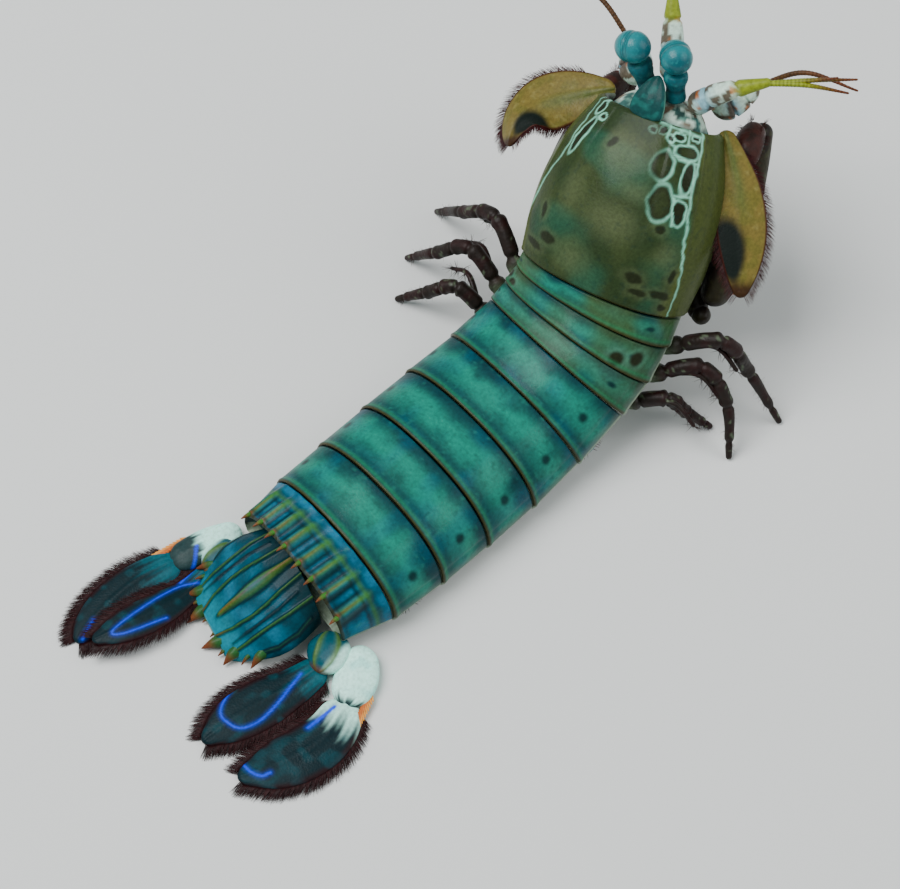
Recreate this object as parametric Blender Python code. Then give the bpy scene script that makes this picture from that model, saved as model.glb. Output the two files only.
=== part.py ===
"""A mantis shrimp standing with its front raised, built as separate plates and limbs."""
import math
import random

import bmesh
import bpy
from mathutils import Matrix, Vector

MM = 0.001
SEED = 11
GAP = 0.3
SHARP_DEGREES = 40
ORIGIN = (36.1, -1.4, 0.0)

# Body line, from the rear edge of the last abdominal plate to the rear edge of the carapace:
# x, y, z of the middle of each plate's side edges, then heading, pitch and roll in degrees.
REAR_EDGES = {
    "abdomen_somite_6": (0.4, 0.4, 3.7, -9.0, -1.0, 0.0),
    "abdomen_somite_5": (7.9, -0.8, 3.6, -6.5, 0.0, 2.0),
    "abdomen_somite_4": (16.4, -1.5, 3.4, -4.5, -1.0, 3.0),
    "abdomen_somite_3": (25.2, -2.0, 3.3, -4.0, 0.0, 3.0),
    "abdomen_somite_2": (34.4, -2.6, 3.4, -4.5, 3.0, 1.0),
    "abdomen_somite_1": (43.8, -3.3, 4.4, -5.0, 13.0, -3.0),
    "thorax_somite_8": (52.7, -4.1, 7.5, -3.5, 27.0, -6.5),
    "thorax_somite_7": (57.0, -4.2, 10.3, 1.5, 37.0, -7.0),
    "thorax_somite_6": (60.6, -3.9, 13.4, 9.0, 43.0, -7.0),
    "carapace": (63.2, -3.3, 16.1, 16.0, 46.5, -8.0),
}
# Half width and height of each of those edges.
RIMS = {
    "abdomen_somite_6": (11.9, 7.9),
    "abdomen_somite_5": (13.6, 9.2),
    "abdomen_somite_4": (14.0, 10.3),
    "abdomen_somite_3": (14.2, 10.8),
    "abdomen_somite_2": (14.3, 10.8),
    "abdomen_somite_1": (14.2, 10.6),
    "thorax_somite_8": (14.0, 10.4),
    "thorax_somite_7": (13.9, 10.0),
    "thorax_somite_6": (13.4, 9.8),
    "carapace": (13.2, 10.0),
}
ORDER = list(REAR_EDGES)
HEAD = (81.1, 2.7, 34.0, 20.0, 44.0, -12.0)

ARCH_POWER = 2.25
ARCH_STEPS = 16
PLEURON_DROP = 1.5
PLEURON_WALL = 1.6
FRONT_TUCK = 0.955
BEAD_SWELL = 1.018
BEAD_WIDTH = 0.7

CARAPACE_SHELL = 1.1
# Along the carapace: share of its length, half width, height above the side edges.
CARAPACE_PROFILE = [
    (0.0, 13.3, 10.0), (0.05, 13.5, 10.2), (0.25, 14.1, 10.5), (0.5, 13.9, 10.1),
    (0.75, 12.5, 9.1), (1.0, 9.6, 6.7),
]
# Body under the shield: share of its length, half width, height and depth.
CORE_PROFILE = [
    (0.0, 11.0, 8.4, 5.5), (0.25, 11.6, 8.9, 6.5), (0.5, 11.4, 8.5, 6.5),
    (0.72, 10.4, 7.6, 6.2), (0.9, 8.8, 6.3, 5.4), (1.0, 7.0, 5.0, 4.6), (1.12, 5.0, 3.0, 3.6),
]
ROSTRAL_PATH = [(-0.6, 0.0, 6.2), (2.2, 0.0, 6.3), (4.6, 0.0, 6.0), (5.9, 0.0, 5.7)]
ROSTRAL_SIZES = [(2.7, 0.6), (2.5, 0.6), (1.5, 0.45), (0.3, 0.3)]
EYES = {"left": (80.5, 8.8, 45.0), "right": (83.3, 3.1, 45.0)}
EYE_RADIUS = 2.4
EYE_SIDES = 12
EYE_RINGS = 9
EYE_TALL = 1.15
EYE_WAIST = 0.06
STALK_ROOT = (2.9, 2.1, 2.2)
ANTENNULE_PATHS = {
    "left": [(84.0, 3.8, 38.0), (87.0, 6.8, 43.5), (90.5, 10.2, 47.5)],
    "right": [(82.8, -0.8, 37.2), (85.2, -4.2, 41.5), (89.8, -9.2, 44.2)],
}
ANTENNULE_TIPS = {
    "left": [(98.5, 19.0, 52.5), (100.0, 13.5, 53.5), (95.5, 17.5, 55.0)],
    "right": [(95.5, -18.6, 44.5), (99.0, -16.5, 47.5), (95.0, -15.0, 49.5)],
}
ANTENNULE_RADIUS = 0.95
FLAGELLUM_RADIUS = 0.42
ANTENNA_LOCAL = [(2.4, 6.2, -2.6), (5.5, 8.6, -4.5), (8.0, 10.8, -5.2)]
ANTENNA_SIZES = [(1.9, 1.9), (1.7, 1.7), (0.9, 0.9)]
ANTENNA_TIP = [(12.0, 17.0, -4.5), (12.0, 25.0, -6.0)]
SCALE_ROOT = (0.6, 9.0, -2.2)
SCALE_TIPS = {"left": (65.2, 18.0, 27.4), "right": (71.2, -21.8, 22.0)}
SCALE_BOW = {"left": 4.4, "right": 1.4}
SCALE_HALF = {"left": [1.2, 3.4, 4.6, 4.9, 4.4, 2.9, 0.8], "right": [1.1, 2.4, 3.4, 3.7, 3.4, 2.4, 0.8]}

# Raptorial claws in the frame of the head, left side.
MERUS_PATH = [(-25.0, 14.1, -5.8), (-18.0, 14.6, -5.7), (-9.0, 13.7, -5.4), (-3.2, 12.2, -5.2)]
MERUS_SIZES = [(2.0, 2.2), (2.7, 3.0), (2.5, 2.8), (1.9, 2.1)]
CLAW_BASE_PATH = [(-20.0, 7.5, -5.6), (-23.4, 9.8, -6.8), (-26.4, 12.2, -6.8), (-27.4, 14.4, -5.6)]
CARPUS_PATH = [(-2.6, 12.2, -5.2), (0.4, 11.7, -6.2), (1.9, 11.3, -8.0), (1.9, 11.3, -9.4)]
CARPUS_SIZES = [(1.7, 1.9), (2.1, 2.2), (1.8, 1.9), (1.3, 1.3)]
PROPODUS_PATH = [(2.2, 11.3, -11.6), (-4.0, 12.0, -11.3), (-12.0, 13.2, -11.2), (-18.8, 13.8, -11.4)]
PROPODUS_SIZES = [(1.4, 1.5), (2.0, 2.3), (1.9, 2.2), (1.4, 1.6)]
CLUB_PATH = [(-19.2, 13.8, -11.4), (-20.4, 13.7, -11.5), (-22.4, 13.2, -11.7), (-24.2, 12.4, -11.8)]
CLUB_SIZES = [(1.3, 1.5), (2.2, 2.4), (2.3, 2.6), (0.9, 1.1)]
FINGER_PATH = [(-22.5, 12.4, -11.6), (-20.5, 10.6, -11.4), (-15.0, 9.9, -11.2), (-8.0, 9.2, -10.8)]
FINGER_SIZES = [(1.2, 1.3), (0.9, 1.1), (0.7, 0.9), (0.3, 0.3)]

# Walking legs: root under a thorax plate, knee, shin and foot.
LEGS = {
    "walking_leg_1_right": [
        (62.3, -15.2, 11.4), (66.6, -22.8, 16.6), (69.2, -27.0, 9.0), (70.2, -33.2, 0.2),
    ],
    "walking_leg_2_right": [
        (58.4, -15.8, 8.6), (63.6, -22.0, 12.0), (63.6, -27.5, 7.5), (60.2, -31.6, 0.2),
    ],
    "walking_leg_3_right": [
        (54.2, -15.6, 6.0), (58.2, -20.4, 7.6), (60.2, -23.0, 4.0), (62.6, -26.2, 0.2),
    ],
    "walking_leg_1_left": [(57.6, 8.2, 9.6), (61.0, 16.5, 14.5), (61.0, 23.5, 9.0), (62.5, 30.5, 0.2)],
    "walking_leg_2_left": [(55.2, 9.0, 7.0), (56.0, 17.0, 11.0), (54.0, 22.5, 6.5), (53.0, 28.0, 0.2)],
    "walking_leg_3_left": [(52.0, 9.2, 4.6), (51.0, 15.2, 8.0), (48.6, 19.5, 4.6), (46.5, 24.0, 0.2)],
}
LEG_PLATES = {"1": "thorax_somite_6", "2": "thorax_somite_7", "3": "thorax_somite_8"}
LEG_UP = (0.6, 0.1, 0.8)
LEG_SIZES = [1.25, 1.15, 0.95, 0.45]
EXOPOD_REACH = [(2.5, 4.5, 1.5), (3.0, 8.5, -1.5)]

# Telson: distance behind the last plate, half width, top and underside heights.
TELSON = (0.3, 0.9, 0.0, -18.5, 0.0, 0.0)
TELSON_PROFILE = [
    (-0.9, 8.3, 9.6, 3.6), (3.0, 9.5, 7.9, 3.2), (6.2, 9.6, 6.2, 2.6), (9.2, 8.4, 4.6, 1.6),
    (11.4, 6.9, 3.2, 0.4), (13.0, 5.4, 1.9, -0.1),
]
TELSON_RIDGES = [(0.0, 0.8, 1.0)] + [(s * y, 0.45, 0.6) for y in (2.4, 3.8, 6.2) for s in (-1, 1)]
SOMITE_6_RIDGES = [(s * y, 0.55, 0.7) for y in (1.6, 4.4, 7.2, 10.0) for s in (-1, 1)]

# Pieces that each tail fan piece is kept clear of.
NEIGHBOURS = {
    "protopod": [], "exopod_base": ["protopod", "exopod"], "exopod": ["exopod_base", "endopod"],
    "endopod": ["protopod", "exopod_base", "exopod"],
}
# Tail fan: path and sizes of each piece, left and right as they lie.
UROPODS = {
    "left": {
        "protopod": (
            [(-0.8, 9.6, 2.4), (-3.4, 10.9, 2.1), (-6.6, 11.8, 1.7)],
            [(2.1, 1.3), (2.4, 1.3), (1.6, 1.0)],
        ),
        "exopod_base": (
            [(1.8, 12.4, 1.7), (-3.4, 14.6, 1.3), (-8.8, 16.4, 0.9)],
            [(1.8, 1.3), (2.6, 1.3), (2.2, 1.0)],
        ),
        "exopod": (
            [
                (-9.1, 16.5, 0.6), (-14.0, 17.9, 0.6), (-19.5, 18.3, 0.55),
                (-24.0, 18.0, 0.5), (-26.8, 17.4, 0.4),
            ],
            [(2.0, 0.75), (3.0, 0.75), (3.1, 0.7), (2.2, 0.65), (0.7, 0.5)],
        ),
        "endopod": (
            [
                (-6.9, 11.4, 0.9), (-10.0, 11.4, 0.8), (-15.0, 12.0, 1.6),
                (-20.5, 13.5, 2.1), (-25.4, 15.3, 2.0),
            ],
            [(1.2, 0.55), (1.9, 0.5), (2.7, 0.5), (2.6, 0.45), (0.8, 0.4)],
        ),
    },
    "right": {
        "protopod": (
            [(-1.0, -8.8, 2.4), (-3.6, -10.6, 2.1), (-6.8, -11.6, 1.7)],
            [(2.2, 1.3), (2.5, 1.3), (1.7, 1.0)],
        ),
        "exopod_base": (
            [(0.6, -13.4, 1.7), (-3.4, -16.0, 1.3), (-7.8, -17.9, 0.9)],
            [(2.0, 1.3), (3.2, 1.3), (2.6, 1.0)],
        ),
        "exopod": (
            [
                (-8.1, -18.1, 0.6), (-12.0, -19.0, 0.6), (-16.5, -18.5, 0.6),
                (-21.0, -16.7, 0.55), (-25.6, -14.2, 0.4),
            ],
            [(2.1, 0.75), (3.8, 0.75), (4.1, 0.7), (3.5, 0.65), (0.9, 0.5)],
        ),
        "endopod": (
            [
                (-7.2, -10.9, 0.6), (-10.5, -10.2, 0.6), (-15.0, -8.9, 0.6),
                (-20.5, -7.5, 0.55), (-25.2, -6.8, 0.4),
            ],
            [(1.4, 0.7), (3.0, 0.75), (3.8, 0.7), (3.3, 0.65), (0.8, 0.5)],
        ),
    },
}
BLADES = ("exopod", "endopod")
UROPOD_LOOKS = {
    "protopod": "ridge_green", "exopod_base": "blade_pale", "exopod": "blade_black", "endopod": "blade_black",
}
PLEOPOD_HALF = [1.8, 3.1, 3.3, 2.3]

VANE_ROOT = (0.6, 0.27)
VANE_TIP = (0.12, 0.10)
# Vanes on the edge of each blade: number on a side, length, first and last share of the blade.
BLADE_VANES = {
    "exopod": (6, 1.6, 0.2, 0.97), "endopod": (6, 1.3, 0.3, 0.97),
    "scale": (5, 1.6, 0.2, 0.97), "pleopod": (3, 0.8, 0.3, 0.95),
}
# Teeth on the telson's margin: root and tip, each as distance behind, side and height; then radius.
TELSON_TEETH = [
    ((11.8, 2.9, 0.9), (15.6, 2.3, 0.5), 1.3), ((10.8, 5.2, 1.4), (14.0, 6.2, 0.6), 1.2),
    ((7.6, 7.6, 2.6), (10.9, 9.0, 1.6), 1.1), ((12.2, 4.3, 0.8), (14.0, 4.5, 0.5), 0.5),
    ((12.4, 1.2, 0.8), (13.7, 1.3, 0.5), 0.4), ((9.6, 6.9, 1.9), (11.8, 7.7, 1.2), 0.5),
]
SPINE_LENGTH = 1.8
EXOPOD_SPINES = 6

COLOURS = {
    "shell_green": ((0.035, 0.16, 0.14), 0.32),
    "shell_olive": ((0.13, 0.13, 0.05), 0.32),
    "ridge_green": ((0.06, 0.25, 0.12), 0.32),
    "limb_maroon": ((0.06, 0.015, 0.02), 0.4),
    "limb_olive": ((0.16, 0.15, 0.04), 0.35),
    "blade_black": ((0.012, 0.010, 0.018), 0.35),
    "blade_pale": ((0.35, 0.65, 0.65), 0.35),
    "scale_yellow": ((0.45, 0.36, 0.08), 0.4),
    "eye_teal": ((0.03, 0.12, 0.17), 0.15),
    "stalk_teal": ((0.05, 0.30, 0.32), 0.35),
    "core_brown": ((0.10, 0.09, 0.05), 0.45),
    "club_red": ((0.35, 0.06, 0.03), 0.3),
    "gill_pale": ((0.30, 0.34, 0.30), 0.5),
}


def clear_scene():
    for thing in list(bpy.data.objects):
        bpy.data.objects.remove(thing, do_unlink=True)
    for group in list(bpy.data.collections):
        bpy.data.collections.remove(group)


def new_group(name, hidden):
    group = bpy.data.collections.new(name)
    bpy.context.scene.collection.children.link(group)
    group.hide_render = hidden
    return group


def material(name):
    found = bpy.data.materials.get(name)
    if found:
        return found
    colour, rough = COLOURS[name]
    made = bpy.data.materials.new(name)
    made.use_nodes = True
    shader = made.node_tree.nodes["Principled BSDF"]
    shader.inputs["Base Color"].default_value = (*colour, 1.0)
    shader.inputs["Roughness"].default_value = rough
    shader.inputs["Metallic"].default_value = 0.0
    return made


def pose(place):
    """The frame at one place: x forward, y to the animal's left, z up, in millimetres."""
    x, y, z, heading, pitch, roll = place
    turn = (
        Matrix.Rotation(math.radians(heading), 4, "Z")
        @ Matrix.Rotation(math.radians(-pitch), 4, "Y")
        @ Matrix.Rotation(math.radians(roll), 4, "X")
    )
    return Matrix.Translation((x, y, z)) @ turn


def between(a, b, share):
    return tuple(p + (q - p) * share for p, q in zip(a, b))


def arch(half, height, steps):
    """Points of a rounded arch from the left side edge over the top to the right."""
    points = []
    for i in range(steps + 1):
        angle = math.pi * (0.5 - i / steps)
        side = math.copysign(abs(math.sin(angle)) ** (2 / ARCH_POWER), math.sin(angle))
        rise = abs(math.cos(angle)) ** (2 / ARCH_POWER)
        points.append((half * side, height * rise))
    return points


def plate_ring(frame, half, height, belly=0.0, grow=0.0, ridges=()):
    """A closed section of a plate: arched back, hanging side lobes, shallow belly."""
    half, height = half + grow, height + grow
    low = -PLEURON_DROP - grow
    inner = half - PLEURON_WALL - 2 * grow
    top = [(y, z + ridge_rise(y, ridges) * (z / height)) for y, z in arch(half, height, ARCH_STEPS)]
    floor = -belly - grow
    under = [(-half + 0.5, low), (-inner, low * 0.7), (-inner * 0.9, floor), (-inner * 0.45, floor - 0.3)]
    mirror = [(-y, z) for y, z in reversed(under)]
    outline = top + under + mirror
    return [frame @ Vector((0.0, y, z)) for y, z in outline]


def ridge_rise(y, ridges):
    return sum(tall * math.exp(-(((y - mid) / wide) ** 2)) for mid, wide, tall in ridges)


def skin(mesh_object, name):
    mesh_object.data.materials.clear()
    mesh_object.data.materials.append(material(name))


def loft(name, rings, look):
    """A solid through a row of closed rings, with a flat face at each end."""
    bm = bmesh.new()
    rows = [[bm.verts.new((p - Vector(ORIGIN)) * MM) for p in ring] for ring in rings]
    count = len(rows[0])
    for a, b in zip(rows, rows[1:]):
        for i in range(count):
            j = (i + 1) % count
            bm.faces.new((a[i], a[j], b[j], b[i]))
    bm.faces.new(rows[0])
    bm.faces.new(reversed(rows[-1]))
    bmesh.ops.recalc_face_normals(bm, faces=bm.faces)
    bmesh.ops.triangulate(bm, faces=bm.faces)
    mesh = bpy.data.meshes.new(name)
    bm.to_mesh(mesh)
    bm.free()
    thing = bpy.data.objects.new(name, mesh)
    BODY.objects.link(thing)
    skin(thing, look)
    return thing


def section(middle, side, up, half, thick, count, power=2.0):
    ring = []
    for i in range(count):
        angle = 2 * math.pi * i / count
        c, s = math.cos(angle), math.sin(angle)
        across = math.copysign(abs(c) ** (2 / power), c)
        rise = math.copysign(abs(s) ** (2 / power), s)
        ring.append(middle + side * (half * across) + up * (thick * rise))
    return ring


def limb(name, path, sizes, look, up=(0, 0, 1), count=10, grow=0.0, power=2.0):
    """A tapering solid along a path; sizes are half width and half thickness."""
    points = [Vector(p) for p in path]
    if grow:
        start = (points[0] - points[1]).normalized() * grow
        end = (points[-1] - points[-2]).normalized() * grow
        points[0] = points[0] + start
        points[-1] = points[-1] + end
    rings = []
    for i, point in enumerate(points):
        before = points[max(i - 1, 0)]
        after = points[min(i + 1, len(points) - 1)]
        along = (after - before).normalized()
        side = Vector(up).cross(along).normalized()
        lift = along.cross(side)
        half, thick = sizes[i]
        rings.append(section(point, side, lift, half + grow, thick + grow, count, power))
    return loft(name, rings, look)


def smooth_path(points, steps):
    """Points on a soft curve through the given ones."""
    points = [Vector(p) for p in points]
    ends = [2 * points[0] - points[1]] + points + [2 * points[-1] - points[-2]]
    made = []
    for i in range(len(points) - 1):
        a, b, c, d = ends[i:i + 4]
        for k in range(steps):
            t = k / steps
            made.append(0.5 * (2 * b + (c - a) * t + (2 * a - 5 * b + 4 * c - d) * t * t
                               + (3 * b - a - 3 * c + d) * t ** 3))
    return made + [points[-1]]


def tapers(first, last, count, swell=0.0):
    sizes = []
    for i in range(count):
        t = i / (count - 1)
        bulge = 1 + swell * math.sin(math.pi * t)
        sizes.append(tuple((a + (b - a) * t) * bulge for a, b in zip(first, last)))
    return sizes


def largest_part(thing):
    bm = bmesh.new()
    bm.from_mesh(thing.data)
    left, groups = set(bm.verts), []
    while left:
        seed = left.pop()
        group, edge = {seed}, [seed]
        while edge:
            vert = edge.pop()
            for link in vert.link_edges:
                other = link.other_vert(vert)
                if other in left:
                    left.discard(other)
                    group.add(other)
                    edge.append(other)
        groups.append(group)
    keep = max(groups, key=len)
    bmesh.ops.delete(bm, geom=[v for v in bm.verts if v not in keep], context="VERTS")
    bmesh.ops.triangulate(bm, faces=bm.faces)
    bm.to_mesh(thing.data)
    bm.free()


def combine(thing, others, operation):
    """Joins the others to the thing, or cuts them from it, and removes them."""
    if not others:
        return thing
    tools = new_group(thing.name + "_tools", True)
    for other in others:
        BODY.objects.unlink(other)
        tools.objects.link(other)
        other.display_type = "WIRE"
    step = thing.modifiers.new("join", "BOOLEAN")
    step.operation = operation
    step.operand_type = "COLLECTION"
    step.collection = tools
    step.solver = "MANIFOLD"
    view = bpy.context.evaluated_depsgraph_get()
    made = bpy.data.meshes.new_from_object(thing.evaluated_get(view))
    thing.modifiers.clear()
    look = thing.data.materials[0].name
    thing.data = made
    skin(thing, look)
    for other in others:
        bpy.data.objects.remove(other, do_unlink=True)
    bpy.data.collections.remove(tools)
    largest_part(thing)
    return thing


def cut_clear(thing, cutters):
    return combine(thing, cutters, "DIFFERENCE")


def spike(root, tip, base, point=0.08, look="ridge_green", up=(0, 0, 1)):
    """A small tapering spine, its root sunk into what it grows from."""
    return limb("spike", [root, tip], [(base, base), (point, point)], look, up, 5)


def vanes(kind, path, halves, up, look):
    """Flat tapering vanes along both edges of a blade, each a little unlike the next."""
    count, length, first, last = BLADE_VANES[kind]
    path = [Vector(p) for p in path]
    made = []
    for edge in (-1, 1):
        for i in range(count):
            share = first + (last - first) * (i + 0.5) / count
            place = share * (len(path) - 1)
            k = min(int(place), len(path) - 2)
            centre = path[k].lerp(path[k + 1], place - k)
            half = halves[k] + (halves[k + 1] - halves[k]) * (place - k)
            along = (path[k + 1] - path[k]).normalized()
            side = Vector(up).cross(along).normalized() * edge
            reach = length * random.uniform(0.85, 1.1)
            root = centre + side * (half * 0.72)
            sweep = along * (0.35 + 0.9 * share) * reach
            tip = centre + side * (half + reach * (1.15 - 0.6 * share)) + sweep
            made.append(limb("vane", [root, tip], [VANE_ROOT, VANE_TIP], look, up, 4))
    return made


def somite(name, grow=0.0, ridges=(), look="shell_green"):
    """One body plate, from its rear rim to just behind the rim of the plate before it."""
    rear = REAR_EDGES[name]
    ahead = ORDER[ORDER.index(name) + 1]
    half, height = RIMS[name]
    next_half, next_height = RIMS[ahead]
    rear_frame = pose(rear)
    front_frame = pose(REAR_EDGES[ahead])
    length = (front_frame.translation - rear_frame.translation).length
    rows = [(0.0, 0.994), (BEAD_WIDTH * 0.5, BEAD_SWELL), (BEAD_WIDTH, 1.0),
            (length * 0.55, 0.5 + FRONT_TUCK * 0.5), (length - GAP, FRONT_TUCK)]
    if grow:
        rows = [(-grow, BEAD_SWELL), (length * 0.5, 1.0), (length - GAP + grow, FRONT_TUCK)]
    rings = []
    for offset, scale in rows:
        share = offset / length
        frame = pose(between(rear, REAR_EDGES[ahead], share))
        wide = (half + (next_half - half) * share) * scale
        tall = (height + (next_height - height) * share) * scale
        rings.append(plate_ring(frame, wide, tall, 0.4, grow, ridges))
    return loft(name + ("_clear" if grow else ""), rings, look)


def head_place(share):
    return between(REAR_EDGES["carapace"], HEAD, share)


def carapace(grow=0.0):
    """The shield over head and front of the thorax, an arched shell open below."""
    rings = []
    for share, half, height in CARAPACE_PROFILE:
        frame = pose(head_place(share))
        outer = arch(half + grow, height + grow, ARCH_STEPS)
        inner = arch(half - CARAPACE_SHELL - grow, height - CARAPACE_SHELL - grow, ARCH_STEPS)
        lip = [(-half + 0.3, -1.6), (-half + CARAPACE_SHELL, -1.5)]
        lip_left = [(half - CARAPACE_SHELL, -1.5), (half - 0.3, -1.6)]
        outline = outer + lip + list(reversed(inner)) + lip_left
        rings.append([frame @ Vector((0.0, y, z)) for y, z in outline])
    if grow:
        ahead = (rings[-1][9] - rings[-2][9]).normalized() * grow
        rings.append([point + ahead for point in rings[-1]])
    return loft("carapace" + ("_clear" if grow else ""), rings, "shell_olive")


def head_core(grow=0.0):
    rings = []
    for share, half, height, depth in CORE_PROFILE:
        frame = pose(head_place(share))
        top = [(y, z) for y, z in arch(half + grow, height + grow, ARCH_STEPS)]
        under = [(y, -z) for y, z in reversed(arch(half + grow, depth + grow, ARCH_STEPS)[1:-1])]
        rings.append([frame @ Vector((0.0, y, z)) for y, z in top + under])
    return loft("head_core" + ("_clear" if grow else ""), rings, "core_brown")


def in_head(point, side=1):
    x, y, z = point
    return pose(HEAD) @ Vector((x, y * side, z))


def head_axis(index):
    return pose(HEAD).to_3x3().col[index]


def flatten(thing):
    """Cuts away whatever is below the floor and closes the cut with a flat face."""
    bm = bmesh.new()
    bm.from_mesh(thing.data)
    geometry = bm.verts[:] + bm.edges[:] + bm.faces[:]
    cut = bmesh.ops.bisect_plane(
        bm, geom=geometry, dist=1e-7, plane_co=(0, 0, 0), plane_no=(0, 0, -1), clear_outer=True
    )
    edges = [e for e in cut["geom_cut"] if isinstance(e, bmesh.types.BMEdge)]
    bmesh.ops.holes_fill(bm, edges=edges, sides=0)
    bmesh.ops.remove_doubles(bm, verts=bm.verts, dist=1e-6)
    bmesh.ops.triangulate(bm, faces=bm.faces)
    bmesh.ops.recalc_face_normals(bm, faces=bm.faces)
    bm.to_mesh(thing.data)
    bm.free()
    return thing


def rostral_plate():
    path = [in_head(p) for p in ROSTRAL_PATH]
    plate = limb("rostral_plate", path, ROSTRAL_SIZES, "ridge_green", head_axis(2), 12, power=3.0)
    return cut_clear(plate, [carapace(GAP), head_core(GAP)])


def eye(side):
    sign = 1 if side == "left" else -1
    centre = Vector(EYES[side])
    root = in_head(STALK_ROOT, sign)
    along = (centre - root).normalized()
    reach = (centre - root).length
    stalk_end = centre - along * (EYE_RADIUS + 0.2 * GAP)
    path = [root, root + along * (reach * 0.3), stalk_end - along * 1.2, stalk_end]
    stalk = limb(f"eyestalk_{side}", path, [(1.2, 1.2), (1.0, 1.0), (1.6, 1.6), (1.5, 1.5)],
                 "stalk_teal", head_axis(1), 12)
    cut_clear(stalk, [head_core(GAP)])
    cornea(side, centre, along)


def cornea(side, centre, along):
    """A two-lobed eye, with a shallow waist between the lobes."""
    across = along.cross(Vector((0, 0, 1))).normalized()
    lift = across.cross(along)
    rings = []
    for i in range(1, EYE_RINGS + 1):
        t = -math.cos(math.pi * i / (EYE_RINGS + 1))
        radius = EYE_RADIUS * math.sqrt(1 - t * t) * (1 - EYE_WAIST * math.exp(-((t / 0.16) ** 2)))
        middle = centre + lift * (t * EYE_RADIUS * EYE_TALL)
        rings.append(section(middle, across, along, radius, radius, EYE_SIDES))
    loft(f"eye_{side}", rings, "eye_teal")


def antennule(side):
    stem = smooth_path(ANTENNULE_PATHS[side], 4)
    sizes = [(s * (1 - 0.18 * math.sin(i * 1.6) ** 2),) * 2 for i, (s, _) in
             enumerate(tapers((ANTENNULE_RADIUS,) * 2, (0.7, 0.7), len(stem)))]
    thing = limb(f"antennule_{side}", stem, sizes, "limb_olive", (0, 0, 1), 7)
    lashes = []
    for k, tip in enumerate(ANTENNULE_TIPS[side]):
        start = stem[-2]
        middle = (start + Vector(tip)) * 0.5 + Vector((0, 0, 0.8 - 0.5 * k))
        path = smooth_path([start, middle, tip], 3)
        sizes = tapers((FLAGELLUM_RADIUS, FLAGELLUM_RADIUS), (0.22, 0.22), len(path))
        lashes.append(limb("lash", path, sizes, "limb_olive", (0, 0, 1), 5))
    combine(thing, lashes, "UNION")
    cut_clear(thing, [head_core(GAP)])


def antenna(side):
    sign = 1 if side == "left" else -1
    stem = [in_head(p, sign) for p in ANTENNA_LOCAL]
    thing = limb(f"antenna_{side}", stem, ANTENNA_SIZES, "limb_olive", (0, 0, 1), 8)
    start = stem[-1] - (stem[-1] - stem[-2]) * 0.15
    path = smooth_path([start] + [in_head(p, sign) for p in ANTENNA_TIP], 5)
    lash = limb("lash", path, tapers((0.45, 0.45), (0.22, 0.22), len(path)), "limb_olive", (0, 0, 1), 5)
    combine(thing, [lash], "UNION")
    cut_clear(thing, [head_core(GAP)])


def antenna_clear(sign):
    stem = [in_head(p, sign) for p in ANTENNA_LOCAL]
    sizes = [(half + GAP, thick + GAP) for half, thick in ANTENNA_SIZES]
    return limb("clear", stem, sizes, "limb_olive", (0, 0, 1), 8, GAP)


def antennal_scale(side):
    """The broad blade folded back beside the shield."""
    sign = 1 if side == "left" else -1
    root = in_head(SCALE_ROOT, sign)
    tip = Vector(SCALE_TIPS[side])
    out = head_axis(1) * sign
    path = []
    halves = SCALE_HALF[side]
    for i in range(len(halves)):
        t = i / (len(halves) - 1)
        path.append(root.lerp(tip, t) + out * (SCALE_BOW[side] * math.sin(math.pi * t)))
    sizes = [(half, 0.42) for half in halves]
    face = head_axis(2) + out * 0.5
    blade = limb(f"antennal_scale_{side}", path, sizes, "scale_yellow", face, 10)
    combine(blade, vanes("scale", path, halves, face, "scale_yellow"), "UNION")
    cut_clear(blade, [carapace(GAP), head_core(GAP), antenna_clear(sign)])


def claw(side):
    sign = 1 if side == "left" else -1
    up = head_axis(2)

    def place(points):
        return [in_head(p, sign) for p in points]

    merus = limb(f"raptorial_merus_{side}", smooth_path(place(MERUS_PATH), 3),
                 spread(MERUS_SIZES, 3), "limb_olive", up, 12)
    base = limb(f"raptorial_base_{side}", place(CLAW_BASE_PATH),
                [(1.5, 1.5), (1.7, 1.7), (1.6, 1.6), (1.2, 1.2)], "limb_olive", up, 10)
    cut_clear(base, [head_core(GAP), merus_clear(place(MERUS_PATH), up)])
    carpus = limb(f"raptorial_carpus_{side}", place(CARPUS_PATH), CARPUS_SIZES, "limb_olive",
                  head_axis(1), 10)
    cut_clear(carpus, [merus_clear(place(MERUS_PATH), up)])
    propodus = limb(f"raptorial_propodus_{side}", smooth_path(place(PROPODUS_PATH), 3),
                    spread(PROPODUS_SIZES, 3), "limb_olive", up, 12)
    carpus_clear = limb("clear", place(CARPUS_PATH), CARPUS_SIZES, "limb_olive", head_axis(1), 10, GAP)
    cut_clear(propodus, [carpus_clear])
    club = limb(f"raptorial_dactyl_{side}", place(CLUB_PATH), CLUB_SIZES, "club_red", up, 12)
    finger_path = smooth_path(place(FINGER_PATH), 2)
    finger = limb("finger", finger_path, spread(FINGER_SIZES, 2), "club_red", up, 8)
    combine(club, [finger], "UNION")
    propodus_clear = limb("clear", smooth_path(place(PROPODUS_PATH), 3), spread(PROPODUS_SIZES, 3),
                          "limb_olive", up, 12, GAP)
    cut_clear(club, [propodus_clear])


def merus_clear(path, up):
    return limb("clear", smooth_path(path, 3), spread(MERUS_SIZES, 3), "limb_olive", up, 12, GAP)


def spread(sizes, steps):
    """Sizes between the given ones, as many as smooth_path makes points."""
    made = []
    for a, b in zip(sizes, sizes[1:]):
        made += [between(a, b, k / steps) for k in range(steps)]
    return made + [sizes[-1]]


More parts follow.
